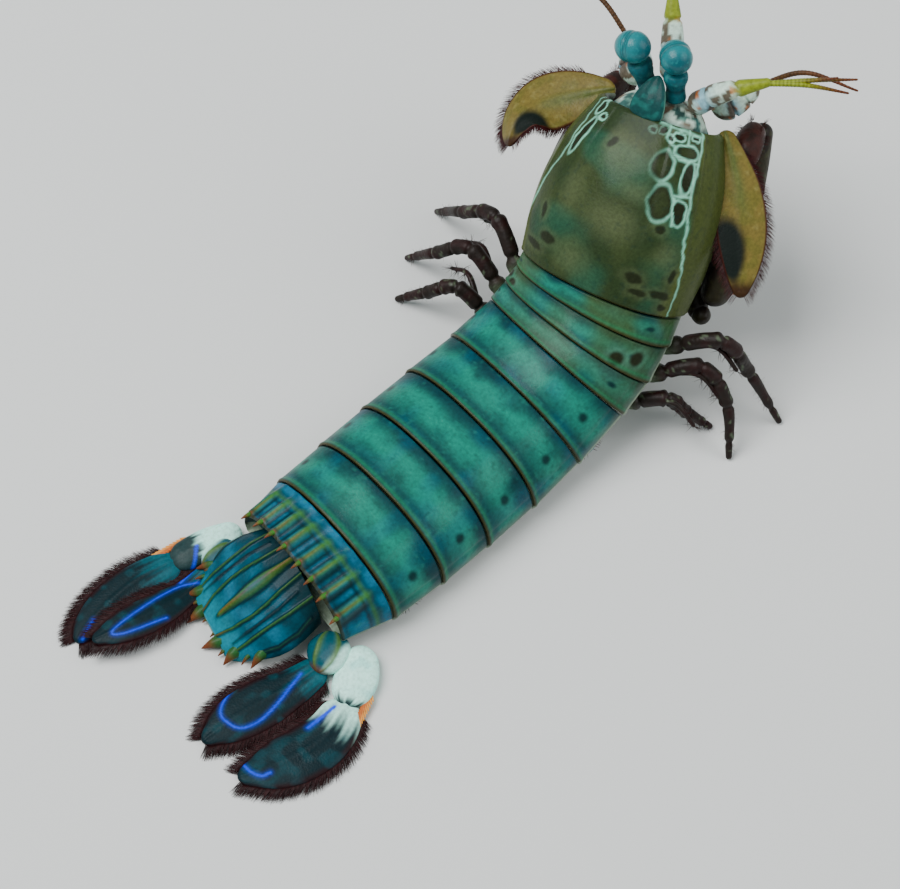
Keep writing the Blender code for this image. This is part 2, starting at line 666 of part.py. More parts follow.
def maxillipeds(side):
    """Three small folded mouth legs on a shared root under the head."""
    sign = 1 if side == "left" else -1
    root = [in_head(p, sign) for p in ((-18.5, 4.6, -6.6), (-12.5, 4.8, -7.4), (-6.5, 4.4, -6.8))]
    root_sizes = [(1.5, 1.2), (1.9, 1.4), (1.3, 1.1)]
    thing = limb(f"maxillipeds_{side}", root, root_sizes, "limb_olive", head_axis(2), 8)
    arms = []
    for k in range(3):
        x = -16.5 + 4.2 * k
        points = [
            (x, 4.8, -7.4), (x - 1.0, 6.4 - k * 0.5, -11.5), (x + 3.4, 4.6, -14.0), (x + 4.4, 3.2, -11.6),
        ]
        path = smooth_path([in_head(p, sign) for p in points], 2)
        sizes = spread([(0.9, 0.9), (0.85, 0.85), (1.0, 1.0), (0.3, 0.3)], 2)
        arms.append(limb("arm", path, sizes, "limb_olive", head_axis(0), 5))
    combine(thing, arms, "UNION")
    cut_clear(thing, [head_core(GAP)])


def walking_leg(name):
    points = LEGS[name]
    plate = LEG_PLATES[name.split("_")[2]]
    sign = 1 if name.endswith("left") else -1
    path = smooth_path(points, 3)
    sizes = [(s, s) for (s,) in spread([(s,) for s in LEG_SIZES], 3)]
    leg = limb(name, path, sizes, "limb_maroon", LEG_UP, 8)
    root = Vector(points[0]).lerp(Vector(points[1]), 0.35)
    reach = [root] + [root + Vector((x, y * sign, z)) for x, y, z in EXOPOD_REACH]
    exopod = limb("exopod", reach, [(0.5, 0.5), (0.5, 0.4), (0.3, 0.3)], "limb_maroon", LEG_UP, 6)
    combine(leg, [exopod], "UNION")
    index = ORDER.index(plate)
    near = [somite(ORDER[k], GAP) for k in (index - 1, index, index + 1) if ORDER[k] != "carapace"]
    cut_clear(leg, near + [head_core(GAP)])
    flatten(leg)


def pleopod(number, side):
    """A flap hanging under one abdominal plate, its edge on the floor."""
    name = f"abdomen_somite_{number}"
    sign = 1 if side == "left" else -1
    ahead = ORDER[ORDER.index(name) + 1]
    frame = pose(between(REAR_EDGES[name], REAR_EDGES[ahead], 0.45))
    level = frame.translation.z
    path = []
    for y, drop in ((2.4, 1.9), (6.0, 2.1), (10.5, 2.7), (14.2, level - 0.55)):
        point = frame @ Vector((0.0, sign * y, 0.0))
        point.z -= drop
        path.append(point)
    path[2].z = min(path[2].z, 0.5 * (path[1].z + path[3].z) + 0.2)
    thick = [0.7, 0.65, 0.6, 0.6]
    sizes = list(zip(PLEOPOD_HALF, thick))
    flap = limb(f"pleopod_{number}_{side}", path, sizes, "gill_pale", (0, 0, 1), 10)
    combine(flap, vanes("pleopod", path, PLEOPOD_HALF, (0, 0, 1), "gill_pale"), "UNION")
    index = ORDER.index(name)
    near = [somite(ORDER[k], GAP) for k in (index - 1, index, index + 1) if k >= 0]
    cut_clear(flap, near)
    flatten(flap)


def telson_ring(distance, half, top, low, grow=0.0):
    frame = pose(TELSON)
    ring = []
    for y, z in arch(half + grow, 1.0, 16):
        rise = low + (top + grow - low) * z
        if not grow and distance < 12:
            rise += ridge_rise(y, TELSON_RIDGES) * z * (1 - distance / 20)
        ring.append(frame @ Vector((-distance, y, rise)))
    for share in (-0.75, -0.25, 0.25, 0.75):
        ring.append(frame @ Vector((-distance, half * share, low - 0.05 - grow)))
    return ring


def telson(grow=0.0):
    rings = [telson_ring(*row, grow) for row in TELSON_PROFILE]
    thing = loft("telson" + ("_clear" if grow else ""), rings, "ridge_green")
    if not grow:
        combine(thing, telson_teeth(), "UNION")
        cut_clear(thing, [somite("abdomen_somite_6", GAP)])
        flatten(thing)
    return thing


def telson_teeth(grow=0.0):
    frame = pose(TELSON)
    made = []
    for root, tip, base in TELSON_TEETH:
        for sign in (-1, 1):
            start, end = [frame @ Vector((-away, sign * y, z)) for away, y, z in (root, tip)]
            end = end + (end - start).normalized() * grow
            made.append(spike(start, end, base + grow, 0.08 + grow))
    return made


def somite_spines():
    """Spines at the rear ends of the last plate's ridges."""
    frame = pose(REAR_EDGES["abdomen_somite_6"])
    half, height = RIMS["abdomen_somite_6"]
    made = []
    for y, _, _ in SOMITE_6_RIDGES:
        rise = height * (1 - (abs(y) / half) ** ARCH_POWER) ** (1 / ARCH_POWER)
        root = frame @ Vector((1.3, y, rise + 0.1))
        tip = frame @ Vector((-SPINE_LENGTH * 0.8, y * 1.02, rise + 0.35))
        made.append(spike(root, tip, 0.5))
    return made


def exopod_spines(path, sizes, sign):
    """The row of curved spines on the outer edge of the tail fan's first segment."""
    path = [Vector(p) for p in path]
    made = []
    for i in range(EXOPOD_SPINES):
        t = 0.35 + 0.6 * i / (EXOPOD_SPINES - 1)
        centre = path[1].lerp(path[2], t)
        half = sizes[1][0] + (sizes[2][0] - sizes[1][0]) * t
        along = (path[2] - path[1]).normalized()
        side = Vector((0, 0, 1)).cross(along).normalized() * -sign
        root = centre + side * (half * 0.7)
        tip = centre + side * (half + 0.5) + along * (1.2 + 0.9 * t)
        made.append(spike(root, tip, 0.42, 0.1, "blade_pale"))
    return made


def uropod(side):
    parts = UROPODS[side]
    for kind, (path, sizes) in parts.items():
        look = UROPOD_LOOKS[kind]
        line, widths = smooth_path(path, 2), spread(sizes, 2)
        thing = limb(f"uropod_{kind}_{side}", line, widths, look, (0, 0, 1), 10)
        if kind in BLADES:
            halves = [half for half, _ in widths]
            combine(thing, vanes(kind, line, halves, (0, 0, 1), look), "UNION")
        if kind == "exopod_base":
            combine(thing, exopod_spines(path, sizes, 1 if side == "left" else -1), "UNION")
        cutters = [telson(GAP)]
        if kind not in BLADES:
            cutters += [somite("abdomen_somite_6", GAP), somite("abdomen_somite_5", GAP)]
        for other in NEIGHBOURS[kind]:
            other_path, other_sizes = parts[other]
            near_path, near_sizes = smooth_path(other_path, 2), spread(other_sizes, 2)
            cutters.append(limb("clear", near_path, near_sizes, look, (0, 0, 1), 10, GAP))
        for cutter in cutters + telson_teeth(GAP):
            cut_clear(thing, [cutter])
        flatten(thing)


def build():
    clear_scene()
    global BODY
    BODY = new_group("mantis_shrimp", False)
    random.seed(SEED)
    for plate in ORDER[1:-1]:
        somite(plate)
    combine(somite(ORDER[0], 0.0, SOMITE_6_RIDGES, "ridge_green"), somite_spines(), "UNION")
    carapace()
    head_core()
    rostral_plate()
    telson()
    for side in ("left", "right"):
        eye(side)
        antennule(side)
        antenna(side)
        antennal_scale(side)
        claw(side)
        maxillipeds(side)
        uropod(side)
        for number in range(1, 6):
            pleopod(number, side)
    for name in LEGS:
        walking_leg(name)
    for thing in BODY.objects:
        thing.data.shade_smooth()
        thing.data.set_sharp_from_angle(angle=math.radians(SHARP_DEGREES))


build()
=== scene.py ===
# %% [markdown]
# # A mantis shrimp, dressed for display
# The plain solids of the animal already stand in one shared frame. This lesson dresses them: every
# plate, limb, eye and bristle gets a finer skin with its own colours. Everything is measured in
# millimetres on a life-size animal and only turned into metres when a mesh is written. The body is drawn
# from its tail forward, and `ORIGIN` is the spot of that drawing that stands at the centre of the frame.

import bmesh
import bpy
import numpy as np
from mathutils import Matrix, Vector


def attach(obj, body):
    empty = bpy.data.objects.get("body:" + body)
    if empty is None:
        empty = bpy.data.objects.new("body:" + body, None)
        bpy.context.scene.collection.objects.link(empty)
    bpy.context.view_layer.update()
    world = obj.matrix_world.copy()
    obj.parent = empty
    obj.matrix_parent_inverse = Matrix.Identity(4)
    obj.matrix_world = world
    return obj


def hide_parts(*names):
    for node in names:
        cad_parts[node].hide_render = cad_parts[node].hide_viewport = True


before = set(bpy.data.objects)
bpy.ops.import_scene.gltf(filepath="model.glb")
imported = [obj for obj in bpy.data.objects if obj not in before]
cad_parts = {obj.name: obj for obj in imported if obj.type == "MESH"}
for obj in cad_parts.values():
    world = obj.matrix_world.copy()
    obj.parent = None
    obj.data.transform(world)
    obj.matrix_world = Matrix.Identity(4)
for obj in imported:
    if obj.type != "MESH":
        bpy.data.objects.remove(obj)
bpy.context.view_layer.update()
MM = 0.001
SIDES = {"left": 1, "right": -1}
ORIGIN = np.array((36.1, -1.4, 0.0))
SEED = 11

# %% [markdown]
# ## Places along the body
# The body line bends upward toward the head. Each plate's rear edge is one place on that line: where
# the middle of its side edges lies, and how it is headed, pitched and rolled. A place between two edges
# is found by blending their numbers, which gives the same bend as the solids have.

# %% Body line
REAR_EDGES = {
    "abdomen_somite_6": (0.4, 0.4, 3.7, -9.0, -1.0, 0.0),
    "abdomen_somite_5": (7.9, -0.8, 3.6, -6.5, 0.0, 2.0),
    "abdomen_somite_4": (16.4, -1.5, 3.4, -4.5, -1.0, 3.0),
    "abdomen_somite_3": (25.2, -2.0, 3.3, -4.0, 0.0, 3.0),
    "abdomen_somite_2": (34.4, -2.6, 3.4, -4.5, 3.0, 1.0),
    "abdomen_somite_1": (43.8, -3.3, 4.4, -5.0, 13.0, -3.0),
    "thorax_somite_8": (52.7, -4.1, 7.5, -3.5, 27.0, -6.5),
    "thorax_somite_7": (57.0, -4.2, 10.3, 1.5, 37.0, -7.0),
    "thorax_somite_6": (60.6, -3.9, 13.4, 9.0, 43.0, -7.0),
    "carapace": (63.2, -3.3, 16.1, 16.0, 46.5, -8.0),
}
RIMS = {
    "abdomen_somite_6": (11.9, 7.9), "abdomen_somite_5": (13.6, 9.2), "abdomen_somite_4": (14.0, 10.3),
    "abdomen_somite_3": (14.2, 10.8), "abdomen_somite_2": (14.3, 10.8), "abdomen_somite_1": (14.2, 10.6),
    "thorax_somite_8": (14.0, 10.4), "thorax_somite_7": (13.9, 10.0), "thorax_somite_6": (13.4, 9.8),
    "carapace": (13.2, 10.0),
}
ORDER = list(REAR_EDGES)
HEAD = (81.1, 2.7, 34.0, 20.0, 44.0, -12.0)
TELSON = (0.3, 0.9, 0.0, -18.5, 0.0, 0.0)


def stations(places):
    """Origin of each place, and its forward, left and up directions as columns."""
    x, y, z, heading, pitch, roll = np.atleast_2d(np.asarray(places, float)).T
    h, p, r = np.radians(heading), np.radians(pitch), np.radians(roll)
    none, one = np.zeros_like(h), np.ones_like(h)

    def turn(*rows):
        return np.stack([np.stack(row, -1) for row in rows], -2)

    headed = turn((np.cos(h), -np.sin(h), none), (np.sin(h), np.cos(h), none), (none, none, one))
    pitched = turn((np.cos(p), none, -np.sin(p)), (none, one, none), (np.sin(p), none, np.cos(p)))
    rolled = turn((one, none, none), (none, np.cos(r), -np.sin(r)), (none, np.sin(r), np.cos(r)))
    return np.stack((x, y, z), -1), headed @ pitched @ rolled


def blend(a, b, share):
    """Numbers between two rows, for one share or many."""
    a, b = np.asarray(a, float), np.asarray(b, float)
    return a + (b - a) * np.asarray(share, float)[..., None]


def in_place(place, local):
    """Points given in the frame of one place, in the frame of the model."""
    origin, axes = stations(place)
    return origin[0] + np.atleast_2d(local) @ axes[0].T


def in_head(points, sign=1):
    return in_place(HEAD, np.asarray(points, float) * (1, sign, 1))


HEAD_AXES = stations(HEAD)[1][0]
print("head leans", HEAD[4], "degrees")

# %% [markdown]
# ## Colours, and patches of colour
# The shell is painted by nature: pigments lie in patches, bands and rings on each plate. Painting them
# on the points of the mesh keeps every mark at its place on the animal, from any side. `colour` reads
# an sRGB hex code; `mottle` makes soft random patches of a given size; `over` lays one colour on
# another; `stroke` and `spot` say how much of a mark covers each point.

# %% Colour helpers


def colour(code):
    """An sRGB hex code as linear red, green and blue."""
    parts = np.array([int(code[i:i + 2], 16) / 255 for i in (1, 3, 5)])
    return np.where(parts <= 0.04045, parts / 12.92, ((parts + 0.055) / 1.055) ** 2.4)


def over(under, top, share):
    return under + (top - under) * np.clip(share, 0, 1)[:, None]


def mottle(points, size, seed=0):
    """Soft patches of about one size in millimetres, from 0 to 1."""
    cells = np.random.default_rng(SEED + seed).random((32, 32, 32))
    at = points / size + 400
    low = np.floor(at).astype(int)
    f = at - low
    f = f * f * (3 - 2 * f)
    total = np.zeros(len(points))
    for corner in np.ndindex(2, 2, 2):
        near = np.prod([f[:, k] if corner[k] else 1 - f[:, k] for k in range(3)], axis=0)
        total += near * cells[tuple((low[:, k] + corner[k]) % 32 for k in range(3))]
    return total


def step(value, low, high):
    """A soft step from 0 at low to 1 at high."""
    t = np.clip((value - low) / (high - low), 0, 1)
    return t * t * (3 - 2 * t)


def bell(value, middle, wide):
    """A smooth bump of height 1."""
    return np.exp(-((value - middle) / wide) ** 2)


def plain(w, tint):
    """One colour all over a skin."""
    return np.tile(tint, (len(w["points"]), 1))


def unit(rows):
    """Every row shortened or stretched to length 1."""
    return rows / np.linalg.norm(rows, axis=1)[:, None]


def spot(a, b, middle, radii, turn=0.0, edge=0.35):
    """Cover of an oval mark on two surface coordinates."""
    c, s = np.cos(np.radians(turn)), np.sin(np.radians(turn))
    p, q = a - middle[0], b - middle[1]
    reach = np.hypot((p * c + q * s) / radii[0], (q * c - p * s) / radii[1])
    return 1 - step(reach, 1 - edge, 1 + edge)


def stroke(a, b, points, width, soft=0.4):
    """Cover of a line through the given points on two surface coordinates."""
    least = np.full(len(a), 1e9)
    for (ax, bx), (ay, by) in zip(points, points[1:]):
        run = np.array((ay - ax, by - bx), float)
        t = np.clip(((a - ax) * run[0] + (b - bx) * run[1]) / max(run @ run, 1e-9), 0, 1)
        least = np.minimum(least, np.hypot(a - ax - t * run[0], b - bx - t * run[1]))
    return 1 - step(least, width * 0.5 - soft * 0.5, width * 0.5 + soft * 0.5)


print("a soft step goes", step(np.array((0.0, 0.5, 1.0)), 0, 1))

# %% [markdown]
# ## The surfaces
# A mantis shrimp's shell is chitin hardened with calcium salts, slightly pitted. Under water it hardly
# shines, so only the eyes and the clubs are glossy here. Each finish takes its colour from the paint on
# the mesh and adds what is too fine to paint: pits, grain, and uneven wetness.

# %% Material helpers


def add(tree, kind, links=(), **settings):
    """Adds one node with its settings; links are (input name or number, output socket)."""
    node = tree.nodes.new(kind)
    for name, value in settings.items():
        if hasattr(node, name):
            setattr(node, name, value)
        else:
            node.inputs[name.replace("_", " ").title()].default_value = value
    for socket, source in links:
        tree.links.new(source, node.inputs[socket])
    return node


def finish(name, rough, pit_mm, pit_depth, grain_mm, grain, coat=0.0, vary=0.12, shine=0.22):
    """A painted surface with pits and grain of real size, and roughness that varies a little."""
    made = bpy.data.materials.new(name)
    made.use_nodes = True
    tree = made.node_tree
    shader = tree.nodes["Principled BSDF"]
    shader.inputs["Coat Weight"].default_value = coat
    shader.inputs["Specular IOR Level"].default_value = shine
    shader.inputs["Coat Roughness"].default_value = 0.12
    shader.inputs["Metallic"].default_value = 0.0
    paint = add(tree, "ShaderNodeAttribute", attribute_name="Paint")
    place = add(tree, "ShaderNodeTexCoord")
    pits = add(tree, "ShaderNodeTexVoronoi", [("Vector", place.outputs["Object"])], scale=1 / (pit_mm * MM))
    specks = add(tree, "ShaderNodeTexNoise", [("Vector", place.outputs["Object"])],
                 scale=1 / (grain_mm * MM), detail=4.0)
    shade = add(tree, "ShaderNodeMapRange", [("Value", specks.outputs["Fac"])],
                from_min=0.3, from_max=0.7, to_min=1 - grain, to_max=1 + grain)
    tinted = add(tree, "ShaderNodeVectorMath", [(0, paint.outputs["Color"]), (1, shade.outputs["Result"])],
                 operation="MULTIPLY")
    tree.links.new(tinted.outputs["Vector"], shader.inputs["Base Color"])
    wet = add(tree, "ShaderNodeTexNoise", [("Vector", place.outputs["Object"])],
              scale=1 / (6 * MM), detail=2.0)
    dull = add(tree, "ShaderNodeMapRange", [("Value", wet.outputs["Fac"])],
               from_min=0.3, from_max=0.7, to_min=rough - vary, to_max=rough + vary)
    tree.links.new(dull.outputs["Result"], shader.inputs["Roughness"])
    height = add(tree, "ShaderNodeMath", [(0, pits.outputs["Distance"]), (1, specks.outputs["Fac"])],
                 operation="ADD")
    bump = add(tree, "ShaderNodeBump", [("Height", height.outputs["Value"])], strength=pit_depth,
               distance=0.1 * MM)
    tree.links.new(bump.outputs["Normal"], shader.inputs["Normal"])
    return made


# %% [markdown]
# ### Eight finishes
# Each finish is named for what it is made of in the animal. Its numbers are roughness, the size of the
# pits in millimetres, their depth, the size of the grain in millimetres, and how much it darkens.

# %% Materials
# Calcified cuticle: hardened plates, finely pitted (pits about 0.35 mm) and hardly shiny under water.
plate_cuticle = finish("calcified_cuticle", 0.42, 0.35, 0.2, 0.5, 0.16, coat=0.06, shine=0.09)
# Limb cuticle: the same shell, thinner and duller where bristles grow.
limb_cuticle = finish("limb_cuticle", 0.48, 0.45, 0.35, 0.6, 0.22)
# Blade cuticle: thin flexible shell of the tail fan and antennal scales, with a soft shine.
blade_cuticle = finish("flexible_cuticle", 0.46, 0.3, 0.2, 0.45, 0.18, shine=0.15)
# Cornea: clear chitin lenses about 0.12 mm across, drawn at 0.2 mm so that they show.
cornea_chitin = finish("cornea_chitin", 0.32, 0.2, 0.25, 0.3, 0.08, coat=0.1, vary=0.05, shine=0.25)
# Striking club: hypermineralised enamel, dense and smooth.
club_enamel = finish("club_enamel", 0.26, 0.6, 0.12, 0.8, 0.12, coat=0.3, vary=0.08, shine=0.5)
# Soft skin under the shield and between plates: leathery, unhardened chitin.
soft_cuticle = finish("soft_cuticle", 0.55, 0.5, 0.5, 1.0, 0.25, vary=0.1)
# Gill and swimming-leg membrane: pale, thin, with branching ribs.
gill_membrane = finish("gill_membrane", 0.5, 0.4, 0.4, 0.7, 0.2)
# Seta chitin: solid bristles, drawn from coloured protein, dull at this size.
seta_chitin = finish("seta_chitin", 0.5, 0.3, 0.0, 0.5, 0.2)
print(len(bpy.data.materials), "materials in the file")

# %% [markdown]
# ## One way to make a skin
# Nearly every piece here is a closed skin round a line: a plate round the body line, a leg round its
# bones. A flat grid can be laid along and round such a line. `wrap` makes the grid with an operator,
# moves its corners to where a `place` function puts them, paints them, and then merges the seam and the
# two poles, so that the skin is closed.

# %% Skins
MERGE_M = 2e-6


def show(name, data):
    """A new object in the scene."""
    thing = bpy.data.objects.new(name, data)
    bpy.context.scene.collection.objects.link(thing)
    return thing


def grid(name, rows, columns, size):
    """A flat grid, made by an operator."""
    mesh = bpy.data.meshes.new(name)
    bm = bmesh.new()
    bmesh.ops.create_grid(bm, x_segments=rows, y_segments=columns, size=size)
    bm.to_mesh(mesh)
    bm.free()
    return mesh


def reshape(mesh, change):
    """Changes a mesh with operators, and turns every face outward."""
    bm = bmesh.new()
    bm.from_mesh(mesh)
    change(bm)
    bmesh.ops.recalc_face_normals(bm, faces=bm.faces)
    bm.to_mesh(mesh)
    bm.free()


def wrap(name, rows, columns, place, paint, surface, slot, nodes=()):
    """A closed, painted skin; place gives points and surface coordinates for every (row, round) pair."""
    mesh = grid(name, rows, columns, 0.5)
    flat = np.empty(len(mesh.vertices) * 3)
    mesh.vertices.foreach_get("co", flat)
    u, v = flat.reshape(-1, 3)[:, :2].T + 0.5
    where = place(np.rint(u * rows).astype(int), v)
    mesh.vertices.foreach_set("co", ((where["points"] - ORIGIN) * MM).ravel())
    tint = mesh.color_attributes.new("Paint", "FLOAT_COLOR", "POINT")
    tint.data.foreach_set("color", np.c_[paint(where), np.ones(len(u))].ravel())
    reshape(mesh, close_up)
    return dress(name, mesh, surface, slot, nodes)


def close_up(bm):
    """Merges the seam and the poles."""
    bmesh.ops.remove_doubles(bm, verts=bm.verts, dist=MERGE_M)


def dress(name, mesh, surface, slot, nodes=()):
    """Puts a mesh in the scene with its material, and lets it stand for its solids."""
    mesh.materials.append(surface)
    mesh.shade_smooth()
    piece = show(name, mesh)
    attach(piece, "root")
    if nodes:
        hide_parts(*nodes)
    return piece


def join(piece, others):
    """Adds the meshes of other pieces to one piece."""
    bm = bmesh.new()
    for thing in [piece] + list(others):
        bm.from_mesh(thing.data)
    bm.to_mesh(piece.data)
    bm.free()
    for other in others:
        bpy.data.objects.remove(other, do_unlink=True)
    return piece


# %% [markdown]
# ## Body plates
# Each ring of the body is covered by an arched plate. Its rear rim is thickened into a bead and
# overlaps the plate behind; its front edge is tucked under the plate ahead. The sides hang down as
# lobes, and a shallow belly closes the ring below. The profile along the plate is given by rows: how
# far from the rear rim, and how large the arch is there.

# %% Arch
ARCH_POWER = 2.25
PLEURON_DROP = 1.5
PLEURON_WALL = 1.6
FRONT_TUCK = 0.985
BEAD_SWELL = 1.007
BEAD_WIDTH = 0.7
GAP = 0.3
BACK_SHARE = 0.74


def power(value, exponent):
    return np.sign(value) * np.abs(value) ** exponent


def arch(t):
    """Side and height of a unit arch, for t from 0 at the left edge to 1 at the right."""
    angle = np.pi * (0.5 - t)
    return power(np.sin(angle), 2 / ARCH_POWER), np.abs(np.cos(angle)) ** (2 / ARCH_POWER)


def ring_outline(v, half, height, belly=0.4):
    """Side and height round a plate: over the back, then under the lobes and the belly."""
    t = np.clip(v / BACK_SHARE, 0, 1)
    side, rise = arch(t)
    inner = half - PLEURON_WALL
    under = (v - BACK_SHARE) / (1 - BACK_SHARE)
    marks = np.array((0.0, 0.07, 0.2, 0.3, 0.42, 0.58, 0.7, 0.8, 0.93, 1.0))
    y_marks = (-half, -half + 0.5, -inner, -inner * 0.9, -inner * 0.45)
    y_low = np.stack(y_marks + tuple(-y for y in reversed(y_marks)), -1)
    z_marks = (0 * half, -PLEURON_DROP + 0 * half, -PLEURON_DROP * 0.7 + 0 * half, -belly + 0 * half,
               -belly - 0.3 + 0 * half)
    z_low = np.stack(z_marks + tuple(reversed(z_marks)), -1)
    k = np.clip(np.searchsorted(marks, np.clip(under, 0, 1), side="right") - 1, 0, 8)
    f = (np.clip(under, 0, 1) - marks[k]) / (marks[k + 1] - marks[k])
    rows = np.arange(len(v))
    y_under = y_low[rows, k] * (1 - f) + y_low[rows, k + 1] * f
    z_under = z_low[rows, k] * (1 - f) + z_low[rows, k + 1] * f
    back = under < 0
    return np.where(back, half * side, y_under), np.where(back, height * rise, z_under), t, back


def plate_rows(length):
    """How far from the rear rim, and how large, each row of a plate is."""
    bead = [(1.6, 0.0), (1.3, 0.90), (0.5, 0.972), (0.12, 0.982), (0.0, 0.987), (0.0, 0.994), (0.10, 1.001),
            (0.3, BEAD_SWELL), (0.5, 1.004), (BEAD_WIDTH, 1.0), (BEAD_WIDTH + 0.2, 0.998)]
    body = [(x, np.interp(x, (BEAD_WIDTH, length - GAP), (0.996, FRONT_TUCK)))
            for x in np.linspace(BEAD_WIDTH + 0.5, length - GAP, max(int(length / 0.24), 10))]
    return np.array(bead + body + [(length - GAP, 0.9), (length - GAP - 0.4, 0.0)])


def plate_piece(name, paint, slot, relief=None, columns=150):
    """One body plate as a closed skin from its rear rim to under the plate ahead."""
    rear, ahead = REAR_EDGES[name], REAR_EDGES[ORDER[ORDER.index(name) + 1]]
    here, there = np.array(RIMS[name]), np.array(RIMS[ORDER[ORDER.index(name) + 1]])
    length = np.linalg.norm(np.subtract(ahead[:3], rear[:3]))
    rows = plate_rows(length)

    def place(i, v):
        offset, scale = rows[i].T
        share = offset / length
        origin, axes = stations(blend(rear, ahead, share))
        shrink = np.where(i < 5, np.minimum(scale, 1), 1.0)
        shrink = np.where(i == len(rows) - 1, 0.0, shrink)
        scale = np.where(i < 5, 0.993, np.maximum(scale, 0.9))
        wide, tall = (blend(here, there, share) * scale[:, None]).T
        y, z, t, back = ring_outline(v, wide, tall)
        if relief is not None:
            lift = relief(offset, y, t) * back * step(offset, 0.0, 0.5)
            out = np.hypot(y / wide, z / tall) + 1e-9
            y, z = y + lift * (y / wide) / out, z + lift * (z / tall) / out
        y, z = y * shrink, tall * 0.4 + (z - tall * 0.4) * shrink
        points = origin + np.einsum("nij,nj->ni", axes, np.stack((0 * y, y, z), -1))
        return {"points": points, "s": offset, "t": t, "y": y, "back": back, "length": length,
                "outer": (i >= 5) & (i < len(rows) - 1)}

    return wrap(name, len(rows) - 1, columns, place, paint, plate_cuticle, slot, [name])


# %% [markdown]
# ### How the abdomen is coloured
# The abdomen is blue-green, lighter in a soft band across each plate, darker toward its front, and
# finely freckled. The bead on each rear rim is olive-brown with a green line before it. The side lobes
# are paler and pinkish. A dark spot sits low on each side.

# %% Abdomen colours
TEAL = colour("#10564e")
TEAL_LIGHT = colour("#1e7d6a")
TEAL_DEEP = colour("#062f38")
BLUE = colour("#0c5f7d")
RIM_BROWN = colour("#37310f")
RIM_GREEN = colour("#1f7048")
FRECKLE = colour("#05282a")
LOBE_PINK = colour("#5d6660")
CELL_DARK = colour("#1f2414")
CELL_RIM = colour("#8fd9bd")
BELLY = colour("#8b9a86")
SIDE_SPOT_T = (0.173, 0.827)


def plate_paint(band=0.55, warm=0.0, pair_spots=()):
    """Colours of one abdominal plate; warm shifts it toward the olive of the thorax."""

    def paint(w):
        s, t, points, length = w["s"], w["t"], w["points"], w["length"]
        share = s / length
        tint = plain(w, TEAL)
        soft = mottle(points, 2.4, 1) - 0.5
        tint = over(tint, TEAL_LIGHT, np.exp(-((share - band + 0.25 * soft) / 0.2) ** 2) * 0.85)
        tint = over(tint, TEAL_DEEP, step(share + 0.3 * soft, 0.62, 1.0) * 0.9)
        tint = over(tint, TEAL_DEEP, bell(share, 0.17, 0.07) * 0.55)
        tint = over(tint, BLUE, step(mottle(points, 3.2, 2), 0.5, 0.9) * 0.22)
        tint = over(tint, FRECKLE, step(mottle(points, 0.55, 3), 0.66, 0.85) * 0.28)
        tint = over(tint, TEAL_LIGHT, step(mottle(points, 0.7, 4), 0.72, 0.9) * 0.3)
        tint = over(tint, colour("#3d4f24"), warm * step(mottle(points, 4.0, 5), 0.1, 0.6))
        edge = np.abs(t - 0.5) * 2
        tint = over(tint, LOBE_PINK, step(edge + 0.05 * soft, 0.90, 0.99) * 0.6)
        for middle in SIDE_SPOT_T:
            tint = over(tint, FRECKLE, spot(share, t, (0.52, middle), (0.085, 0.024), edge=0.5) * 0.95)
        for middle in pair_spots:
            tint = over(tint, CELL_RIM, spot(share, t, middle, (0.31, 0.044), edge=0.6) * 0.12)
            tint = over(tint, CELL_DARK, spot(share, t, middle, (0.23, 0.034), edge=0.35))
        tint = over(tint, RIM_GREEN, bell(s, 0.7, 0.22) * 0.6)
        tint = over(tint, RIM_BROWN, (1 - step(s, 0.2, 0.42)) * 0.95)
        return over(tint, BELLY, np.where(w["back"], 0.0, 1.0))

    return paint


def plate_relief(offset, y, t):
    """A shallow crease above each side lobe."""
    return -0.12 * bell(np.abs(t - 0.5), 0.425, 0.012)


for plate in ORDER[1:6]:
    plate_piece(plate, plate_paint(), "shell_green", plate_relief)
PAIR_SPOTS = [(0.28, 0.762), (0.506, 0.847), (0.28, 0.238), (0.506, 0.153)]
for plate, warm, spots in zip(ORDER[6:9], (0.45, 0.6, 0.75), ((), PAIR_SPOTS, ())):
    plate_piece(plate, plate_paint(warm=warm, pair_spots=spots), "shell_green", plate_relief)

# %% [markdown]
# ### The last abdominal plate
# The sixth plate carries eight keels, and each ends in a brown spine at the rear. The keels are raised
# on the same skin; the spines are small tapering skins of their own, joined to the plate.

# %% Keels and spines
SOMITE_6_KEELS = [(s * y, wide, tall) for y, wide, tall in
                  ((1.7, 0.75, 0.85), (4.6, 0.65, 0.7), (7.4, 0.6, 0.7), (10.4, 0.6, 0.6)) for s in (-1, 1)]
KEEL_GREEN = colour("#38702a")
SPINE_BROWN = colour("#6b3a22")
SOMITE_6_BLUE = colour("#0a6380")
SOMITE_6_DEEP = colour("#04232b")


def somite_6_relief(offset, y, t):
    rise = sum(tall * bell(y, mid, wide) for mid, wide, tall in SOMITE_6_KEELS)
    return rise * (1 - 0.75 * step(offset, 3.5, 7.0))


